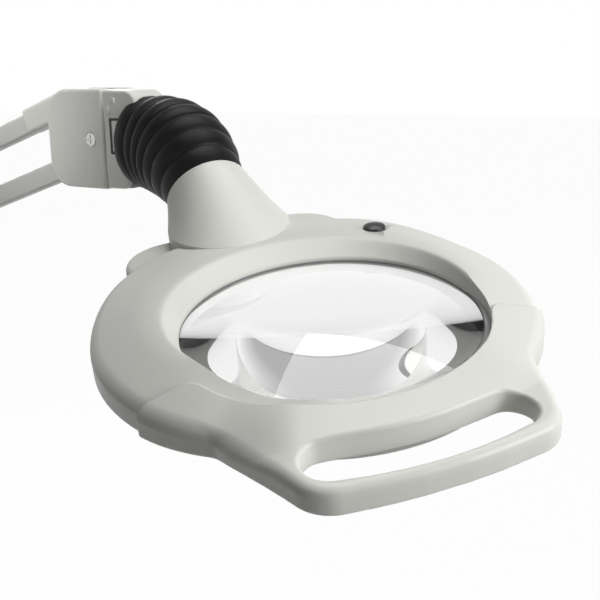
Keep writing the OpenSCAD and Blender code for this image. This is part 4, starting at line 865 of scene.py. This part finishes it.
# Stage: a pale floor, low enough for the clamp's screw at its lower limit, and a white backdrop, both seen as
# white. The ceiling is darker where it is mirrored, so that the lens shows an edge.
FLOOR_Z = -0.124
FLOOR_HALF = 6
FLOOR_WHITE = 0.94
DIM_CEILING = 0.4
FILL = 0.03
floor_mesh = bpy.data.meshes.new("floor")
floor_mesh.from_pydata([(x, y, FLOOR_Z) for x, y in ((-FLOOR_HALF, -FLOOR_HALF), (FLOOR_HALF, -FLOOR_HALF),
                                                     (FLOOR_HALF, FLOOR_HALF), (-FLOOR_HALF, FLOOR_HALF))],
                       [], [(0, 1, 2, 3)])
floor = bpy.data.objects.new("floor", floor_mesh)
scene.collection.objects.link(floor)
floor_white = bpy.data.materials.new("floor_white")
floor_white.use_nodes = True
tree = floor_white.node_tree
floor_shader = tree.nodes["Principled BSDF"]
floor_shader.inputs["Base Color"].default_value = (0.42, 0.42, 0.42, 1)
floor_shader.inputs["Roughness"].default_value = 0.9
path = wire(tree, "ShaderNodeLightPath")
seen = wire(tree, "ShaderNodeMath", {0: path.outputs["Is Camera Ray"], 1: path.outputs["Is Glossy Ray"]},
            operation="MAXIMUM")
share = wire(tree, "ShaderNodeMath", {0: seen.outputs[0], 1: FLOOR_WHITE}, operation="MULTIPLY")
white = wire(tree, "ShaderNodeEmission", {"Color": (1, 1, 1, 1), "Strength": 1.03})
mixed = wire(tree, "ShaderNodeMixShader",
             {0: share.outputs[0], 1: floor_shader.outputs[0], 2: white.outputs[0]})
tree.links.new(mixed.outputs[0], tree.nodes["Material Output"].inputs["Surface"])
floor_mesh.materials.append(floor_white)

world = bpy.data.worlds.new("studio")
scene.world = world
world.use_nodes = True
tree = world.node_tree
path = wire(tree, "ShaderNodeLightPath")
seen = wire(tree, "ShaderNodeMath", {0: path.outputs["Is Glossy Ray"], 1: path.outputs["Is Transmission Ray"]},
            operation="MAXIMUM")
facing = wire(tree, "ShaderNodeSeparateXYZ", {0: wire(tree, "ShaderNodeNewGeometry").outputs["Incoming"]})
wall = wire(tree, "ShaderNodeMapRange", {0: facing.outputs["Z"], 1: -0.6, 2: -0.25, 3: DIM_CEILING, 4: 1.0})
mirrored = wire(tree, "ShaderNodeMath", {0: seen.outputs[0], 1: wall.outputs[0]}, operation="MULTIPLY")
seen = wire(tree, "ShaderNodeMath", {0: mirrored.outputs[0], 1: path.outputs["Is Camera Ray"]},
            operation="MAXIMUM")
level = wire(tree, "ShaderNodeMapRange", {0: seen.outputs[0], 3: FILL, 4: 1.0})
tree.nodes["Background"].inputs["Color"].default_value = (1, 1, 1, 1)
tree.links.new(level.outputs[0], tree.nodes["Background"].inputs["Strength"])

# Lights: a soft key from the right, a wide one overhead, a small one on the bracket, and two on the arm, none
# of them seen through the lens. All but the last two are placed by the camera's own directions.
camera_right = np.array([0.849246, 0.527797, -0.016476])
camera_up = np.array([-0.120413, 0.224003, 0.967152])
camera_back = np.array([0.514143, -0.819315, 0.25376])
aim = in_head([[0, 0, 0]])[0] / 1000


def soft_light(name, at, way, far, size, power, spread=180):
    """A soft box that stands far out along a direction from a point, faces it, and isn't seen in the lens."""
    way = np.array(way) / np.linalg.norm(way)
    side = np.cross((0, 0, 1), way)
    side /= np.linalg.norm(side)
    light = bpy.data.lights.new(name, "AREA")
    light.size = size
    light.energy = power
    light.spread = np.radians(spread)
    box = bpy.data.objects.new(name, light)
    turn = np.eye(4)
    turn[:3, 0], turn[:3, 1], turn[:3, 2] = side, np.cross(way, side), way
    turn[:3, 3] = at + far * way
    box.matrix_world = Matrix(turn.tolist())
    box.visible_transmission = False
    scene.collection.objects.link(box)


soft_light("key", aim, 0.8 * camera_right + 0.2 * camera_up + 0.54 * camera_back, 0.8, 0.5, 5.5)
soft_light("top", aim, 0.06 * camera_right + 0.97 * camera_up + 0.06 * camera_back, 1.2, 0.9, 9.2)
soft_light("left", swivel / 1000 + (-0.1, 0, 0.01), -0.75 * camera_right + 0.25 * camera_up + 0.6 * camera_back,
           0.4, 0.08, 0.018, 24)
for name, way in (("arm_front", (0.2, -0.8, 0.6)), ("arm_back", (-0.5, 0.7, 0.5))):
    soft_light(name, (0.06, 0, 0.08), way, 0.8, 0.4, 0.35, 42)

# Camera: the photograph's view of the head, from its front and a little above.
CAMERA_AT = (0.789872, -0.404770, 0.268893)
camera = bpy.data.objects.new("camera", bpy.data.cameras.new("camera"))
camera.data.sensor_width = 36
camera.data.lens = 54
camera.data.clip_start = 0.01
place = np.eye(4)
place[:3, 0], place[:3, 1], place[:3, 2] = camera_right, camera_up, camera_back
place[:3, 3] = CAMERA_AT
camera.matrix_world = Matrix(place.tolist())
scene.collection.objects.link(camera)
scene.camera = camera
scene.view_settings.view_transform = "Standard"
